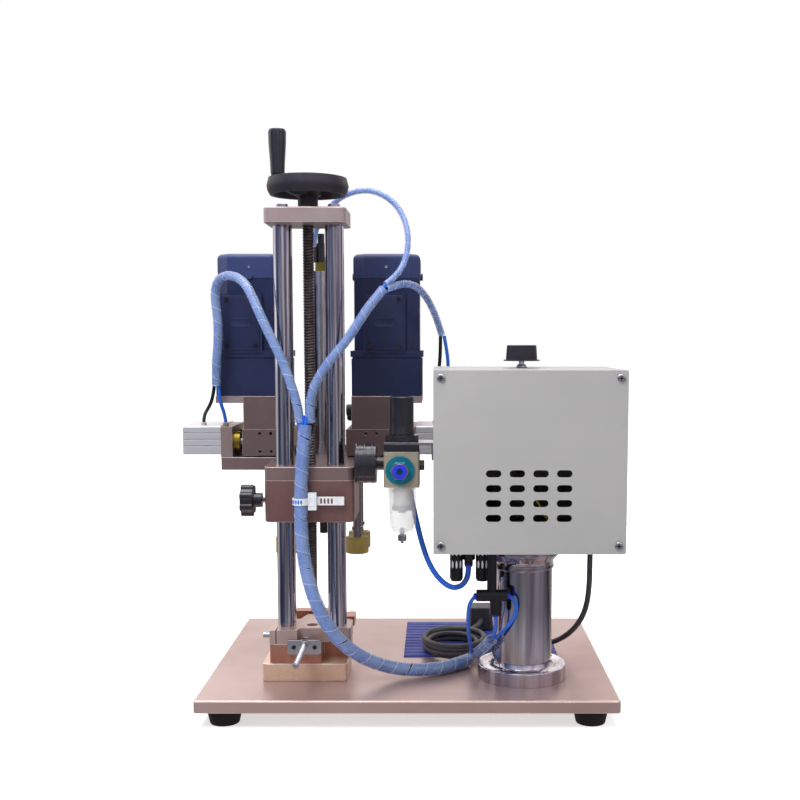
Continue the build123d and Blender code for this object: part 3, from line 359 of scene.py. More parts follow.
finish("wrap_plastic", "#a9c0ee", "#86a2de", (0.16, 0.26), 0.0, 300, 45, 0.02, coat=0.5,
       Coat_Roughness=0.1, Alpha=0.42)
finish("wrap_edge", "#d3def5", "#b4c4ea", (0.16, 0.26), 0.0, 300, 45, 0.02, coat=0.5,
       Coat_Roughness=0.1, Alpha=0.75)

# Machined aluminium whose bevelled edges get a paler finish, a painted highlight where they catch the light
BRIGHT_EDGED = ("base_champagne", "stand_gold", "stand_copper", "clamp_champagne", "block_brown",
                "carriage_brown", "bracket_brown", "end_champagne", "cap_alloy")

# Pieces made from the solids

SHARP_EDGE = 32
ROUND_PIECE = 50


def only(piece):
    bpy.ops.object.select_all(action="DESELECT")
    piece.select_set(True)
    bpy.context.view_layer.objects.active = piece


@contextmanager
def editing(piece):
    """Edit mode on one piece, with all of its mesh selected."""
    only(piece)
    bpy.ops.object.mode_set(mode="EDIT")
    bpy.ops.mesh.select_all(action="SELECT")
    yield
    bpy.ops.object.mode_set(mode="OBJECT")


def apply_all(piece):
    only(piece)
    for modifier in list(piece.modifiers):
        bpy.ops.object.modifier_apply(modifier=modifier.name)


def soften(piece, width, segments=2, rim=-1):
    """Rounds the sharp edges by width millimetres; rim is the number of the material that they get."""
    bevel = piece.modifiers.new("soft_edges", "BEVEL")
    bevel.width = width * MM
    bevel.segments = segments
    bevel.limit_method = "ANGLE"
    bevel.angle_limit = radians(SHARP_EDGE)
    bevel.use_clamp_overlap = True
    bevel.material = rim
    apply_all(piece)


def smooth(piece, angle=38):
    only(piece)
    bpy.ops.object.shade_smooth_by_angle(angle=radians(angle))


def paint(piece, *names):
    piece.data.materials.clear()
    for name in names:
        piece.data.materials.append(FINISH[name])


def repaint(piece, index, test):
    """Gives the material at index to the faces whose middle, in millimetres, passes the test."""
    for face in piece.data.polygons:
        x, y, z = face.center / MM
        if test(x - SHIFT_X, y - SHIFT_Y, z):
            face.material_index = index


def take_place(piece, node):
    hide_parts(node)
    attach(piece, BODY_OF[node])


def dress(node, finish_name, width=0.5, segments=2, extra=()):
    """A merged copy of a solid, with softened edges and its finish, takes the solid's place."""
    piece = bpy.data.objects.new(node + "_piece", NODES[node].data.copy())
    bpy.context.scene.collection.objects.link(piece)
    with editing(piece):
        bpy.ops.mesh.remove_doubles(threshold=0.002 * MM)
        bpy.ops.mesh.dissolve_limited(angle_limit=radians(0.6), delimit={"NORMAL"})
    names = [finish_name, *extra]
    rim = -1
    # The bevels take the paler finish as a painted highlight.
    if finish_name in BRIGHT_EDGED:
        rim = len(names)
        names.append("highlight_champagne")
    paint(piece, *names)
    if width:
        soften(piece, width, segments, rim)
    smooth(piece)
    flat = piece.modifiers.new("flat_faces", "WEIGHTED_NORMAL")
    flat.keep_sharp = True
    flat.weight = 90
    apply_all(piece)
    take_place(piece, node)
    return piece


def thread(name, node, finish_name, start, along, length, radius, pitch, depth):
    """A threaded rod in place of a plain one: the crest and the root wind round it side by side."""
    sides = 22
    along = Vector(along)
    side = along.orthogonal().normalized()
    up = along.cross(side)
    rise = pitch / sides
    shape = ((0.0, radius - depth), (0.36, radius), (0.64, radius), (1.0, radius - depth))
    rings = []
    vertices = []
    count = int((length - pitch) / rise)
    for i in range(count + 1):
        out = side * cos(tau * i / sides) + up * sin(tau * i / sides)
        rings.append(len(vertices))
        for part, reach in shape:
            spot = Vector(start) + along * (i * rise + part * pitch) + out * reach
            vertices.append(at(*spot))
    faces = []
    for a, b in zip(rings, rings[1:]):
        for j in range(3):
            faces.append((a + j, a + j + 1, b + j + 1, b + j))
    first, last = rings[0], rings[-1]
    low = len(vertices)
    high = low + 1
    vertices += [at(*start), at(*(Vector(start) + along * length))]
    for a, b in zip(rings[:sides + 1], rings[1:sides + 1]):
        faces.append((a, b, low))
    for a, b in zip(rings[-sides - 1:], rings[-sides:]):
        faces.append((a + 3, b + 3, high))
    faces.append((first, first + 1, first + 2, first + 3, low))
    faces.append((last + 3, last + 2, last + 1, last, high))
    piece = mesh_piece(name, vertices, faces)
    with editing(piece):
        bpy.ops.mesh.remove_doubles(threshold=0.005 * MM)
        bpy.ops.mesh.normals_make_consistent(inside=False)
    smooth(piece, 30)
    paint(piece, finish_name)
    take_place(piece, node)


# Where the finish changes on a solid that has more than one
CLAMP_SCREW_X = -147.2
CAP_TOP = 526
LOCK_Z, STUD_R = 220, 3.2
ROD_RINGS_X = 97.4
CYLINDER_CAP_Z = (469.5, 480.5)
PAD_TOP = 205.2
BLOCK_END_X = 88.2
BUMPER_X, BUMPER_TOP = 37.4, 319
SHELF_Y, SHELF_Z = 7.5, 319.5
FAN_COVER_Z = 459
TREAD_TOP = 163.1
FACE_LOW, FACE_HIGH = (27.4, 181.9), (215.6, 361.1)
KNOB_FOOT = 369.4
BONNET_Z = 276.6
PORT_X, PORT_TOP = REG_X + 18.6, 276
HEX_Y, COLLET_Y = -115.2, -122.2
FILTER_FOOT = 219.2
LENS_X, LENS_R = -53.4, 18.3
DIAL_X, DIAL_R = -47, 18.1
GAUGE_Y, GAUGE_Z = -95, 263


def off_gauge(y, z):
    """Distance from the gauge's middle line."""
    return hypot(y - GAUGE_Y, z - GAUGE_Z)


def past_face(x, z):
    """True outside the flat face of the box's lid."""
    return not (FACE_LOW[0] < x < FACE_HIGH[0] and FACE_LOW[1] < z < FACE_HIGH[1])


def dress_stand():
    dress("base_plate", "base_champagne", 0.6)
    dress("rubber_feet", "foot_rubber", 1.2)
    dress("column_foot", "stand_gold", 1.0)
    dress("column_seat", "stand_copper", 0.8)
    clamp = dress("column_clamp", "clamp_champagne", 0.6, extra=("bright_steel",))
    repaint(clamp, 1, lambda x, y, z: x < CLAMP_SCREW_X)
    dress("nut_plate", "bright_steel", 0.4)
    dress("guide_columns", "column_chrome", 0.6)
    top = dress("top_plate", "cap_alloy", 0.8, extra=("bright_steel",))
    repaint(top, 1, lambda x, y, z: z > CAP_TOP)
    dress("handwheel", "black_moulded", 0.6)
    dress("crank_grip", "black_gloss", 0.6)
    thread("rod_thread", "adjusting_rod", "bright_steel", (-109, -182, 72), (0, 1, 0), 164, 3, 1.25, 0.45)
    dress("v_block", "stand_copper", 0.8)
    thread("lead_thread", "lead_screw", "lead_steel", (AXIS_X, COL_Y, 117), (0, 0, 1), 428, 6, 3, 1.0)


def dress_carriage():
    dress("cross_plate", "carriage_brown", 0.9)
    dress("bearing_block", "block_brown", 0.9)
    knob = dress("lock_knob", "black_gloss", 1.0, extra=("bright_steel",))
    repaint(knob, 1, lambda x, y, z: hypot(y - COL_Y, z - LOCK_Z) < STUD_R)
    plates = dress("end_plates", "end_champagne", 1.2, extra=("brass",))
    repaint(plates, 1, lambda x, y, z: abs(x - AXIS_X) < ROD_RINGS_X)
    dress("air_cylinders", "cylinder_alloy", 0.3)
    press = dress("press_cylinder", "bright_steel", 0.4, extra=("brass", "black_gloss"))
    repaint(press, 1, lambda x, y, z: CYLINDER_CAP_Z[0] < z < CYLINDER_CAP_Z[1])
    repaint(press, 2, lambda x, y, z: z > CYLINDER_CAP_Z[1])
    rod = dress("press_rod", "bright_steel", 0.4, extra=("black_gloss",))
    repaint(rod, 1, lambda x, y, z: z < PAD_TOP)
    dress("cable_tie", "nylon_white", 0.3)
    for word in ("left", "right"):
        block = dress(f"slide_block_{word}", "bracket_brown", 0.8, extra=("bright_steel",))
        repaint(block, 1, lambda x, y, z: abs(x - AXIS_X) > BLOCK_END_X)
        bracket = dress(f"motor_bracket_{word}", "bracket_brown", 0.8,
                        extra=("black_moulded", "cap_alloy"))
        repaint(bracket, 1, lambda x, y, z: abs(x - AXIS_X) < BUMPER_X and z < BUMPER_TOP)
        repaint(bracket, 2, lambda x, y, z: y > SHELF_Y and z > SHELF_Z)
        motor = dress(f"gear_motor_{word}", "motor_navy", 0.8, extra=("motor_cover",))
        repaint(motor, 1, lambda x, y, z: z > FAN_COVER_Z)
        dress(f"drive_pulley_{word}", "pulley_alloy", 0.3)
        dress(f"drive_belt_{word}", "tube_black", 0.2)
        for row in ("rear", "front"):
            roller = dress(f"roller_{word}_{row}", "roller_olive", 0.3, extra=("spindle_steel",))
            repaint(roller, 1, lambda x, y, z: z > TREAD_TOP)


def dress_control_side():
    dress("control_post", "post_chrome", 0.5)
    dress("control_box", "box_grey", 0.5)
    cover = dress("box_cover", "box_grey", 0.7, extra=("cover_rim",))
    repaint(cover, 1, lambda x, y, z: past_face(x, z))
    dress("pan_screws", "bright_steel", 0.2)
    dress("solenoid_valve", "valve_black", 0.4)
    dress("cable_gland", "bright_steel", 0.4)
    knob = dress("speed_knob", "black_moulded", 0.3, extra=("bright_steel",))
    repaint(knob, 1, lambda x, y, z: z < KNOB_FOOT)
    dress("regulator_bracket", "bright_steel", 0.3)
    body = dress("regulator_body", "regulator_beige", 0.7, extra=("black_gloss", "dark_steel"))
    repaint(body, 1, lambda x, y, z: z > BONNET_Z)
    repaint(body, 2, lambda x, y, z: x > PORT_X and z < PORT_TOP)
    inlet = dress("inlet_fitting", "inlet_teal", 0.5, extra=("bright_steel", "collet_blue"))
    repaint(inlet, 1, lambda x, y, z: y < HEX_Y)
    repaint(inlet, 2, lambda x, y, z: y < COLLET_Y)
    dress("regulator_knob", "black_gloss", 0.5)
    dress("regulator_bowl", "clear_bowl", 0.3)
    element = dress("filter_element", "filter_white", 0.3, extra=("black_moulded",))
    repaint(element, 1, lambda x, y, z: z < FILTER_FOOT)
    dress("drain_valve", "bright_steel", 0.3)
    gauge = dress("pressure_gauge", "black_gloss", 0.5, extra=("clear_lens", "dial_white"))
    repaint(gauge, 1, lambda x, y, z: x < LENS_X and off_gauge(y, z) < LENS_R)
    repaint(gauge, 2, lambda x, y, z: abs(x - DIAL_X) < 0.2 and off_gauge(y, z) < DIAL_R)
    dress("gauge_needle", "needle_red", 0)
    dress("blue_mat", "mat_blue", 0.2)
    dress("power_plug", "cord_grey", 2.0, 3)


# Small parts modelled on top of the solids

FRONT = (0, -1, 0)
UP = (0, 0, 1)
DOWN = (0, 0, -1)
MOTOR_OUT = 77
MOTOR_FRONT = 43
PANEL_OFF = {"left": -9, "right": -2}
TIE_MIDDLE = Vector((-111.5, -106, 224.5))
TIE_REACH = 8.7
MUFFLERS_X = (50.5, 77.5)
MUFFLERS_Y = -100
MUFFLER_R = 6.75


def place_piece(piece, finish_name, beside, width):
    """Finishes a small part, which takes the body of the node beside it."""
    only(piece)
    bpy.ops.object.transform_apply(location=True, rotation=True, scale=True)
    if width:
        soften(piece, width)
    smooth(piece)
    paint(piece, finish_name)
    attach(piece, BODY_OF[beside])


def add_cylinder(name, place, facing, radius, depth, sides=24):
    """A cylinder whose back stands at place and which points along facing; sizes in millimetres."""
    facing = Vector(facing).normalized()
    bpy.ops.object.select_all(action="DESELECT")
    bpy.ops.mesh.primitive_cylinder_add(
        vertices=sides, radius=radius * MM, depth=depth * MM,
        location=at(*(Vector(place) + facing * depth / 2)), rotation=facing.to_track_quat("Z", "Y").to_euler())
    piece = bpy.context.object
    piece.name = name
    bpy.ops.object.transform_apply(location=True, rotation=True, scale=True)
    return piece


def add_box(name, low, high):
    """A box from its two corners, in millimetres."""
    middle = [(a + b) / 2 for a, b in zip(low, high)]
    bpy.ops.object.select_all(action="DESELECT")
    bpy.ops.mesh.primitive_cube_add(size=1, location=at(*middle))
    piece = bpy.context.object
    piece.name = name
    piece.scale = [(b - a) * MM for a, b in zip(low, high)]
    bpy.ops.object.transform_apply(location=True, rotation=True, scale=True)
    return piece


def edit_front(piece, facing, *steps):
    """Selects the face that looks along facing, and insets (width) or pushes (depth) it step by step."""
    facing = Vector(facing).normalized()
    with editing(piece):
        bpy.ops.mesh.select_mode(type="FACE")
        bpy.ops.mesh.select_all(action="DESELECT")
    for face in piece.data.polygons:
        face.select = face.normal.dot(facing) > 0.99
    bpy.ops.object.mode_set(mode="EDIT")
    for kind, amount in steps:
        if kind == "inset":
            bpy.ops.mesh.inset(thickness=amount * MM)
        else:
            move = facing * amount * MM
            bpy.ops.mesh.extrude_region_move(TRANSFORM_OT_translate={"value": move})
    bpy.ops.object.mode_set(mode="OBJECT")


def socket_screw(name, place, radius, height, beside, finish_name="dark_steel"):
    """A cap screw's head on the machine's front, with the recess that its key goes in."""
    screw = add_cylinder(name, place, FRONT, radius, height)
    edit_front(screw, FRONT, ("inset", radius * 0.45), ("push", -height * 0.6))
    place_piece(screw, finish_name, beside, 0.2)


def stretch_up(piece, times, middle):
    """Makes a piece taller about its middle, so that a round slot end becomes a long one."""
    with editing(piece):
        bpy.ops.transform.resize(value=(1, 1, times), center_override=at(*middle))


def motor_details(word, side):
    """Terminal cover of a gear motor: a raised lid with a window, four screws, and one on the fan cover."""
    motor = f"gear_motor_{word}"
    middle = AXIS_X + side * MOTOR_OUT
    panel = middle + PANEL_OFF[word]
    front = CAP_Y - MOTOR_FRONT
    lid = add_box(f"terminal_lid_{word}", (panel - 20.5, front - 1.2, 379.5),
                  (panel + 20.5, front + 0.5, 441))
    place_piece(lid, "motor_navy", motor, 0.8)
    window = add_box(f"terminal_window_{word}", (panel - 11, front - 2, 406), (panel + 11, front - 1, 416))
    edit_front(window, FRONT, ("inset", 1.0), ("push", -0.45))
    place_piece(window, "motor_navy", motor, 0.3)
    for column in (-1, 1):
        for row, z in enumerate((384.5, 436.5)):
            place = (panel + column * 16.5, front - 0.9, z)
            socket_screw(f"lid_screw_{word}_{column + 1}_{row}", place, 2.4, 1.5, motor)
    socket_screw(f"fan_screw_{word}", (middle, CAP_Y - 38, 473), 1.6, 0.8, motor, "bright_steel")


def blank_plate():
    """The bare pale plate on the side of the right motor."""
    x = AXIS_X + MOTOR_OUT + 37.2
    plate = add_box("blank_plate", (x, CAP_Y - 24, 396), (x + 0.5, CAP_Y + 4, 428))
    place_piece(plate, "label_white", "gear_motor_right", 0.2)


def stand_details():
    """The two screws of the nut plate."""
    for k, x in enumerate((-120.5, -98.5)):
        socket_screw(f"nut_plate_screw_{k}", (x, -107, 69.5), 2.3, 0.7, "nut_plate")


def tie_details():
    """Slots along the tie's strap and round its ring, and the recess in its head."""
    for k in range(4):
        x = -91.5 + 3.7 * k
        slot = add_box(f"tie_slot_{k}", (x, -104.65, 221.8), (x + 2.1, -104.1, 227.2))
        place_piece(slot, "block_brown", "cable_tie", 0.15)
    for k in range(5):
        turn = radians(208 + 18 * k)
        out = Vector((cos(turn), sin(turn), 0))
        spot = TIE_MIDDLE + out * TIE_REACH
        slot = add_cylinder(f"tie_ring_slot_{k}", spot, out, 1.0, 0.35, 12)
        stretch_up(slot, 2.3, spot)
        place_piece(slot, "tube_blue", "cable_tie", 0)
    head = add_box("tie_head_block", (-103, -110, 219.5), (-96.5, -109.2, 229.5))
    edit_front(head, FRONT, ("inset", 1.4), ("push", -0.4))
    place_piece(head, "nylon_white", "cable_tie", 0.2)


def muffler_slots():
    """Two rows of slots round each muffler, with the pale filter showing in them."""
    for m, x in enumerate(MUFFLERS_X):
        for row, (low, high) in enumerate(((153.5, 162), (167, 171.5))):
            for k in range(10):
                turn = radians(36 * k + 18)
                out = Vector((cos(turn), sin(turn), 0))
                spot = Vector((x, MUFFLERS_Y, (low + high) / 2)) + out * MUFFLER_R
                slot = add_cylinder(f"muffler_{m}_slot_{row}_{k}", spot, out, 1.05, 0.3, 10)
                stretch_up(slot, (high - low) / 2.1, spot)
                place_piece(slot, "slot_white", "solenoid_valve", 0)


def screw_crosses():
    """The cross recess in each of the cover's screws, drawn as a thin black cross on the head: painted shade,
    not a cut.
    """
    corners = [(x, z) for z in (354.5, 189.5) for x in (34, 209)]
    for k, (x, z) in enumerate(corners):
        for bar, (wide, high) in enumerate(((2.3, 0.55), (0.55, 2.3))):
            low, far = (x - wide, -172.55, z - high), (x + wide, -171.9, z + high)
            cross = add_box(f"cover_screw_cross_{k}_{bar}", low, far)
            # Black stands for the shade inside the recess.
            place_piece(cross, "valve_black", "pan_screws", 0.1)


def knob_nut():
    """The nut that holds the speed knob's spindle to the box."""
    nut = add_cylinder("speed_knob_nut", (119, -78, 362), UP, 6.2, 2.6, 6)
    edit_front(nut, UP, ("inset", 0.9), ("push", 1.2))
    place_piece(nut, "bright_steel", "pan_screws", 0.25)


def gauge_details():
    """Rings round the gauge's case, and the marks on its dial."""
    for k, (x, radius, height) in enumerate(((-54.6, 20.9, 3.2), (-46, 20.8, 2.6), (-38, 20.8, 2.6))):
        ring = add_cylinder(f"gauge_ring_{k}", (x, GAUGE_Y, GAUGE_Z), (1, 0, 0), radius, height, 64)
        if k == 0:
            edit_front(ring, (-1, 0, 0), ("inset", 2.7), ("push", -2.9))
        place_piece(ring, "black_gloss", "pressure_gauge", 0.5)
    for k in range(11):
        turn = radians(27 * k - 135)
        mark = add_box(f"gauge_mark_{k}", (-47.35, GAUGE_Y - 0.35, GAUGE_Z + 11),
                       (-46.9, GAUGE_Y + 0.35, GAUGE_Z + 14.5))
        with editing(mark):
            bpy.ops.transform.rotate(value=turn, orient_axis="X", center_override=at(-47, GAUGE_Y, GAUGE_Z))
        place_piece(mark, "black_moulded", "pressure_gauge", 0)


def collets():
    """The blue rings that hold each tube in its fitting."""
    places = [((71.5, -115.2, 126.3), (-1, 0, -0.25), 3.6), ((102.5, -115.2, 127), (1, 0, -0.1), 3.6),
              ((91, -115, 107.5), DOWN, 3.6), ((63.3, -100, 157.5), DOWN, 4.4)]
    for k, (place, facing, radius) in enumerate(places):
        ring = add_cylinder(f"tube_collet_{k}", place, facing, radius, 2.6, 20)
        edit_front(ring, facing, ("inset", 0.9), ("push", 0.8))
        place_piece(ring, "collet_blue", "tee_tubes", 0.3)


def add_small_parts():
    collets()
    motor_details("left", -1)
    motor_details("right", 1)
    blank_plate()
    stand_details()
    tie_details()
    muffler_slots()
    screw_crosses()
    knob_nut()
    gauge_details()


# Cords

MAIN_R = 7.25
BRANCH_R = 5.0
LOOP_R = 3.3
SIDE_R = 4.0
AIR_TUBE_R = 2.0
FEED_R = 3.0
MAINS_R = 3.0
WIRE_R = 1.0
STEP = 2.5 * MM
TUBE_SIDES = 12
STRAND_TWIST = 0.006
WRAP_WALL = 0.6
MAT_MIDDLE = (50, 14)

MAIN_ROUTE = [(-105.5, -108, 305), (-107.5, -107, 285), (-110, -106, 258), (-111.5, -106, 229),
              (-111.5, -106.8, 199), (-109, -111, 169), (-103.5, -116.5, 144), (-95.5, -121, 121),
              (-84, -122, 97), (-67, -116.5, 74), (-42, -104, 54), (-14, -91, 41.5), (16, -87, 38.8),
              (44, -73, 38.6), (65, -50, 39.5)]
LEFT_ROUTE = [(-111, -108.5, 306.8), (-112.5, -109.5, 323), (-119, -109, 345), (-128, -107, 369),
              (-138, -103.5, 389), (-147.5, -98.5, 407), (-156.5, -90.5, 425), (-165, -79, 441),
              (-174, -65, 452.5), (-186.5, -50, 459.5), (-200, -36.5, 461), (-210.5, -25.5, 455),
              (-214.5, -19.5, 440), (-212.5, -18, 422), (-211.5, -17.5, 402), (-213, -16, 382),
              (-215.5, -13.5, 362), (-216.5, -9.5, 341)]
LEFT_CABLE = [(-218.8, -9, 340), (-220.5, -8, 328.5), (-224.5, -5, 319), (-230, 2.5, 312),
              (-234.5, 10, 306), (-236, 13.5, 299)]
LEFT_AIR = [(-214.2, -8.8, 340), (-213.5, -7.8, 328), (-212, -4, 317.5), (-210, 1.5, 308.5),
            (-209.2, 4.5, 298.8)]
RIGHT_ROUTE = [(-100, -108.5, 306.8), (-101, -110, 322), (-97.5, -111, 341), (-88, -110, 359),
               (-75, -107, 376), (-61, -102, 393), (-50.5, -97.5, 410), (-39, -91, 428), (-26, -82, 444)]
TOP_LOOP = [(-24, -80, 449), (-14, -71, 457), (-6, -62, 469), (-1.5, -54, 484), (-0.5, -45, 501),
            (-4, -36, 519), (-13, -27, 536), (-26, -19, 547.5), (-41, -14, 554), (-57, -9, 554.5),
            (-74, -1, 550), (-88, 10, 541), (-98, 22, 531.5), (-106, 33, 521), (-110.5, 40, 510),
            (-111.5, 42, 498.9)]
RIGHT_LOOP = [(-23, -80, 444), (-13, -69, 449), (-1, -54, 451.5), (9.5, -38, 448), (17.5, -17, 439.5),
              (24.5, 4, 427.5), (30.5, 15, 413), (35.5, 22.5, 397)]
RIGHT_CABLE = [(34, 22.8, 396), (34, 26, 381), (33, 29.5, 364), (31, 31, 346), (28.5, 33, 328),
               (27.5, 36.5, 312), (28, 40, 298.6)]
RIGHT_AIR = [(38.2, 22.8, 396), (41, 25.6, 381), (43, 28, 364), (42, 30, 346), (39, 32, 328),
             (37, 36.5, 312), (37, 41, 298.6)]
TEE_LEFT = [(69.4, -115.2, 125.6), (64.5, -116, 121), (62.5, -114.5, 110), (62.5, -109, 97),
            (63.5, -99, 83), (65.3, -86, 69), (67, -73, 57), (68.5, -61, 48)]
TEE_MIDDLE = [(91, -115, 106.4), (91.8, -114.5, 98), (91.2, -111.5, 89), (89.5, -105.5, 80.5)]
TEE_RIGHT = [(104.4, -115.4, 126.6), (110, -117.5, 124), (113, -120.5, 115), (110, -121.5, 105),
             (103.5, -117.5, 95), (97, -110.5, 86), (92, -104.5, 79)]
SHORT_WRAP = [(88, -103, 77), (82, -88.5, 66.5), (75.5, -73, 55), (69, -58.5, 45.5)]
WIRE_ROUTE = [(118, -151, 254), (123, -158, 243), (129.5, -161, 232), (136, -161.5, 221), (142, -159, 210),
              (150, -151, 202)]
FEED_ROUTE = [(-6.5, -70, 257), (-6.5, -58, 256), (-4.5, -47, 248), (-1, -42.5, 233), (3, -46, 215),
              (8, -54, 194), (13.5, -64, 173), (21, -71, 152), (32, -77, 136), (45, -83, 127.5),
              (56, -88.5, 130.5), (61.8, -95, 140), (63.2, -99, 149.5), (63.3, -100, 156.6)]
MAINS_ROUTE = [(193.5, -80, 168), (193.4, -79.9, 150), (193.2, -79.8, 134), (192.5, -77, 117.5),
               (191.5, -67, 102), (189, -49, 85), (183.5, -28, 68), (175, -7, 53), (163, 11, 41.5),
               (147, 24, 36.5), (129, 31, 36.4), (111, 30.5, 37), (92.8, 26.5, 38)]
PLUG_LEAD = [(67.5, 62.5, 42), (74.5, 71, 43), (81.5, 81, 44.5), (84.5, 97.3, 45.5)]


def nurbs(name, route, radius=0.0):
    """A smooth curve over a route's points, given in millimetres."""
    curve = bpy.data.curves.new(name, "CURVE")
    curve.dimensions = "3D"
    line = curve.splines.new("NURBS")
    line.points.add(len(route) - 1)
    for point, place in zip(line.points, route):
        point.co = (*at(*place), 1)
    line.order_u = 3
    line.use_endpoint_u = True
    curve.resolution_u = 10
    curve.bevel_depth = radius * MM
    curve.bevel_resolution = 6
    curve.use_fill_caps = True
    piece = bpy.data.objects.new(name, curve)
    bpy.context.scene.collection.objects.link(piece)
    return piece


def read_line(name, route):
    """Points along the smooth curve of a route, in metres."""
    guide = nurbs(name + "_guide", route)
    mesh = bpy.data.meshes.new_from_object(guide)
    points = [vertex.co.copy() for vertex in mesh.vertices]
    bpy.data.objects.remove(guide)
    bpy.data.meshes.remove(mesh)
    return points


def resample(points, step):
    """Points one step apart along a line, with a frame at each that doesn't twist."""
    lengths = [0.0]
    for a, b in zip(points, points[1:]):
        lengths.append(lengths[-1] + (b - a).length)
    total = lengths[-1]
    count = max(2, round(total / step))
    places = []
    k = 0
    for i in range(count + 1):
        want = total * i / count
        while k < len(points) - 2 and lengths[k + 1] < want:
            k += 1
        part = (want - lengths[k]) / max(1e-9, lengths[k + 1] - lengths[k])
        places.append(points[k].lerp(points[k + 1], part))
    frames = []
    side = Vector((1, 0, 0))
    for i, place in enumerate(places):
        ahead = (places[min(i + 1, count)] - places[max(i - 1, 0)]).normalized()
        side = (side - ahead * side.dot(ahead)).normalized()
        frames.append((place, side.copy(), ahead.cross(side)))
    return frames, total


def tube_mesh(name, centres, radius):
    """A closed round tube round a row of (place, side, up) frames; radius in millimetres."""
    sides = TUBE_SIDES
    vertices, faces = [], []
    for place, side, up in centres:
        for k in range(sides):
            turn = tau * k / sides
            vertices.append(place + (side * cos(turn) + up * sin(turn)) * radius * MM)
    for i in range(len(centres) - 1):
        for k in range(sides):
            a = i * sides + k
            b = i * sides + (k + 1) % sides
            faces.append((a, b, b + sides, a + sides))
    faces.append(tuple(reversed(range(sides))))
    last = (len(centres) - 1) * sides
    faces.append(tuple(range(last, last + sides)))
    return mesh_piece(name, vertices, faces)


def mesh_piece(name, vertices, faces):
    mesh = bpy.data.meshes.new(name)
    mesh.from_pydata(vertices, [], faces)
    mesh.update()
    piece = bpy.data.objects.new(name, mesh)
    bpy.context.scene.collection.objects.link(piece)
    return piece


def strand(name, frames, offset, start, radius):
    """One tube of a bundle: offset millimetres off the middle, and slowly turning round it."""
    centres = []
    for i, (place, side, up) in enumerate(frames):
        turn = start + STRAND_TWIST * i
        out = side * cos(turn) + up * sin(turn)
        centres.append((place + out * offset * MM, side, up))
    return tube_mesh(name, centres, radius)


def slit(turn):
    """Width of the gap between two turns of the wrap: nearly shut, and open here and there."""
    return 0.2 + 2.6 * max(0.0, sin(1.9 * turn) * sin(0.53 * turn + 0.7) - 0.3)


def wrap_mesh(name, frames, total, radius, pitch):
    """A flat band wound round the line in a helix, paler along both edges, with a slit between its turns."""
    steps = 20
    marks = (0.0, 0.025, 0.5, 0.985, 1.0)
    turns = total / MM / pitch + 1
    rows = int(turns * steps)
    vertices, faces = [], []
    for i in range(rows + 1):
        turn = i / steps
        low = pitch * (turn - 1) + slit(turn - 1) / 2
        high = pitch * turn - slit(turn) / 2
        for mark in marks:
            along = min(max((low + (high - low) * mark) * MM, 0.0), total)
            spot = along / total * (len(frames) - 1)
            k = min(int(spot), len(frames) - 2)
            place = frames[k][0].lerp(frames[k + 1][0], spot - k)
            side = frames[k][1].lerp(frames[k + 1][1], spot - k).normalized()
            up = frames[k][2].lerp(frames[k + 1][2], spot - k).normalized()
            out = side * cos(-tau * turn) + up * sin(-tau * turn)
            vertices.append(place + out * radius * MM)
    across = len(marks)
    for i in range(rows):
        for j in range(across - 1):
            a = i * across + j
            faces.append((a, a + 1, a + 1 + across, a + across))
    band = mesh_piece(name, vertices, faces)
    paint(band, "wrap_plastic", "wrap_edge")
    for k, face in enumerate(band.data.polygons):
        face.material_index = 1 if k % (across - 1) in (0, across - 2) else 0
    with editing(band):
        bpy.ops.mesh.remove_doubles(threshold=0.02 * MM)
        bpy.ops.mesh.dissolve_degenerate(threshold=0.02 * MM)
        bpy.ops.mesh.normals_make_consistent(inside=False)
    solid = band.modifiers.new("wall", "SOLIDIFY")
    solid.thickness = WRAP_WALL * MM
    solid.offset = 0
    apply_all(band)
    smooth(band, ROUND_PIECE)
    return band


def declare(piece, node, body):
    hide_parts(node)
    if body:
        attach(piece, body)


def wrapped_cord(name, route, radius, pitch, inside, node, body, before):
    """Tubes and cables side by side, with the spiral wrap round them; before leads into the wrap."""
    frames, total = resample(read_line(name, route), STEP)
    longer, _ = resample(read_line(name + "_inside", before + route), STEP)
    strands = []
    for k, (colour, offset, start, strand_r) in enumerate(inside):
        piece = strand(f"{name}_strand_{k}", longer, offset, start, strand_r)
        smooth(piece, ROUND_PIECE)
        paint(piece, colour)
        strands.append(piece)
    band = wrap_mesh(name, frames, total, radius - 0.3, pitch)
    declare(band, node, None)
    for piece in [band] + strands:
        if body:
            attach(piece, body)
        else:
            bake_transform(piece)


def plain_cord(name, route, radius, node, body, colour):
    piece = nurbs(name, route, radius)
    paint(piece, colour)
    declare(piece, node, body)


def short_sleeve():
    """The short piece of wrap that holds the tee's tubes together."""
    frames, total = resample(read_line("short_wrap", SHORT_WRAP), STEP)
    sleeve = wrap_mesh("short_wrap", frames, total, 5.7, 14)
    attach(sleeve, "frame")
    return sleeve


def coil_turns():
    """Loose turns of the power cord on the mat: half widths and height of each turn, from the inside."""
    middle_x, middle_y = MAT_MIDDLE
    turns = [(30, 36, 36.2), (37.5, 45.5, 36.2), (34, 41, 41.5), (27.5, 34.5, 42), (38.5, 46, 46.5),
             (33, 40, 48.5)]
    steps = 14
    points = []
    for turn, (first, second) in enumerate(zip(turns, turns[1:])):
        for k in range(steps):
            part = k / steps
            angle = radians(62) + tau * part
            half_x, half_y, z = [a + (b - a) * part for a, b in zip(first, second)]
            sway = 1.5 * sin(turn * 2.1)
            points.append((middle_x + half_x * cos(angle) + sway, middle_y + half_y * sin(angle), z))
    return points


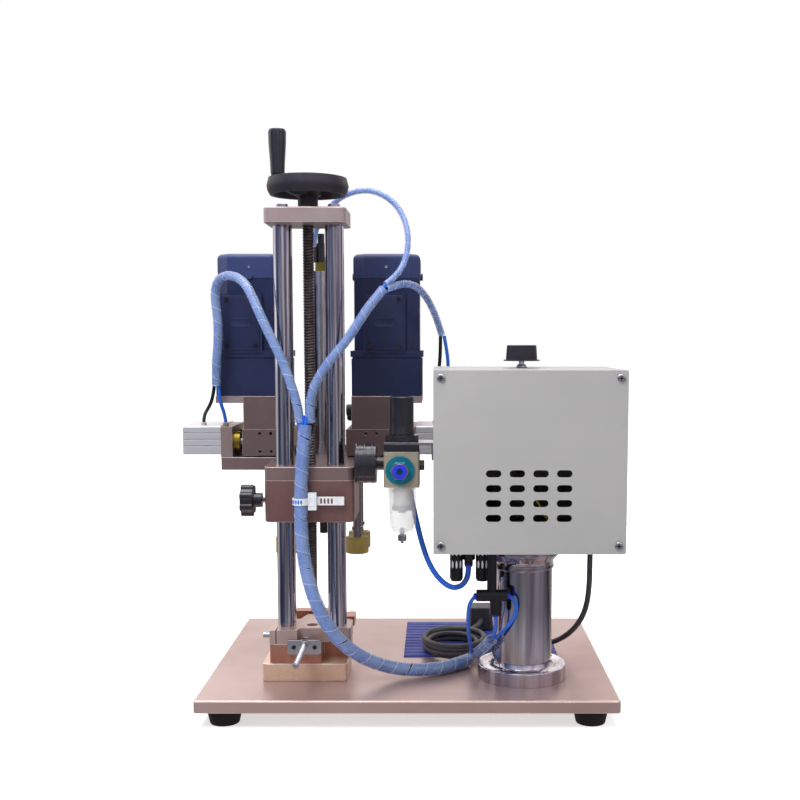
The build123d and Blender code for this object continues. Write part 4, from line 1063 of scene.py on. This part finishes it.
def power_lead():
    """The mains lead from the gland to its coil, and from the coil to the plug."""
    middle_x, middle_y = MAT_MIDDLE
    last_turn = []
    for angle in (62, 100, 140, 180, 220, 260, 300, 335, 365):
        turn = radians(angle)
        last_turn.append((middle_x + 37 * cos(turn), middle_y + 44 * sin(turn), 47 - 0.012 * angle))
    enter = [(93, 27, 38), (79, 30, 38.5)]
    leave = [(83, 38, 43.5), (76, 50, 42.5), (70.5, 61, 42)]
    route = MAINS_ROUTE[:-1] + enter + coil_turns() + last_turn + leave + PLUG_LEAD[1:]
    cord = nurbs("power_cord_line", route, MAINS_R)
    return cord, route


def make_cords():
    wrapped_cord("main_wrap", MAIN_ROUTE, MAIN_R, 17.2,
                 [("tube_blue", 4.0, 2.5, 2.3), ("tube_blue", 4.0, 3.8, 2.1), ("tube_black", 4.0, 5.0, 2.3),
                  ("tube_blue", 3.9, 1.4, 2.2), ("tube_black", 4.0, 0.2, 2.5)], "main_bundle", None,
                 [(-104, -108, 313)])
    wrapped_cord("left_wrap", LEFT_ROUTE, BRANCH_R, 15.5,
                 [("tube_blue", 2.2, 3.4, 2.1), ("tube_black", 2.2, 0.3, 2.0)],
                 "left_cables", "carriage", [(-107, -108, 294)])
    plain_cord("left_cable", LEFT_CABLE, AIR_TUBE_R, "left_cables", "carriage", "tube_black")
    plain_cord("left_air_tube", LEFT_AIR, AIR_TUBE_R, "left_cables", "carriage", "tube_blue")
    wrapped_cord("right_wrap", RIGHT_ROUTE, BRANCH_R, 15.5,
                 [("tube_blue", 2.2, 3.4, 2.1), ("tube_black", 2.2, 0.3, 2.0)],
                 "right_cables", "carriage", [(-103, -108, 294)])
    wrapped_cord("top_wrap", TOP_LOOP, LOOP_R, 11.5, [("tube_blue", 0.0, 0.0, 2.1)],
                 "right_cables", "carriage", [(-33, -86, 436)])
    wrapped_cord("side_wrap", RIGHT_LOOP, SIDE_R, 11.5,
                 [("tube_blue", 1.6, 0.5, 1.6), ("tube_black", 1.6, 3.6, 1.6)],
                 "right_cables", "carriage", [(-35, -88, 434)])
    plain_cord("right_cable", RIGHT_CABLE, AIR_TUBE_R, "right_cables", "carriage", "tube_black")
    plain_cord("right_air_tube", RIGHT_AIR, AIR_TUBE_R, "right_cables", "carriage", "tube_blue")
    plain_cord("tee_tube_left", TEE_LEFT, AIR_TUBE_R, "tee_tubes", "frame", "tube_blue")
    sleeve = short_sleeve()
    plain_cord("tee_tube_middle", TEE_MIDDLE, AIR_TUBE_R, "tee_tubes", "frame", "tube_blue")
    plain_cord("tee_tube_right", TEE_RIGHT, AIR_TUBE_R, "tee_tubes", "frame", "tube_blue")
    plain_cord("regulator_tube_line", FEED_ROUTE, FEED_R, "regulator_tube", "frame", "tube_blue")
    wire = nurbs("box_wire", WIRE_ROUTE, WIRE_R)
    paint(wire, "wire_yellow")
    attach(wire, "frame")
    cord, route = power_lead()
    paint(cord, "cord_grey")
    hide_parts("power_cord", "power_cord_coil")
    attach(cord, "frame")


add_camera()
light_the_room()
add_floor()
dress_stand()
dress_carriage()
dress_control_side()
add_small_parts()
make_cords()
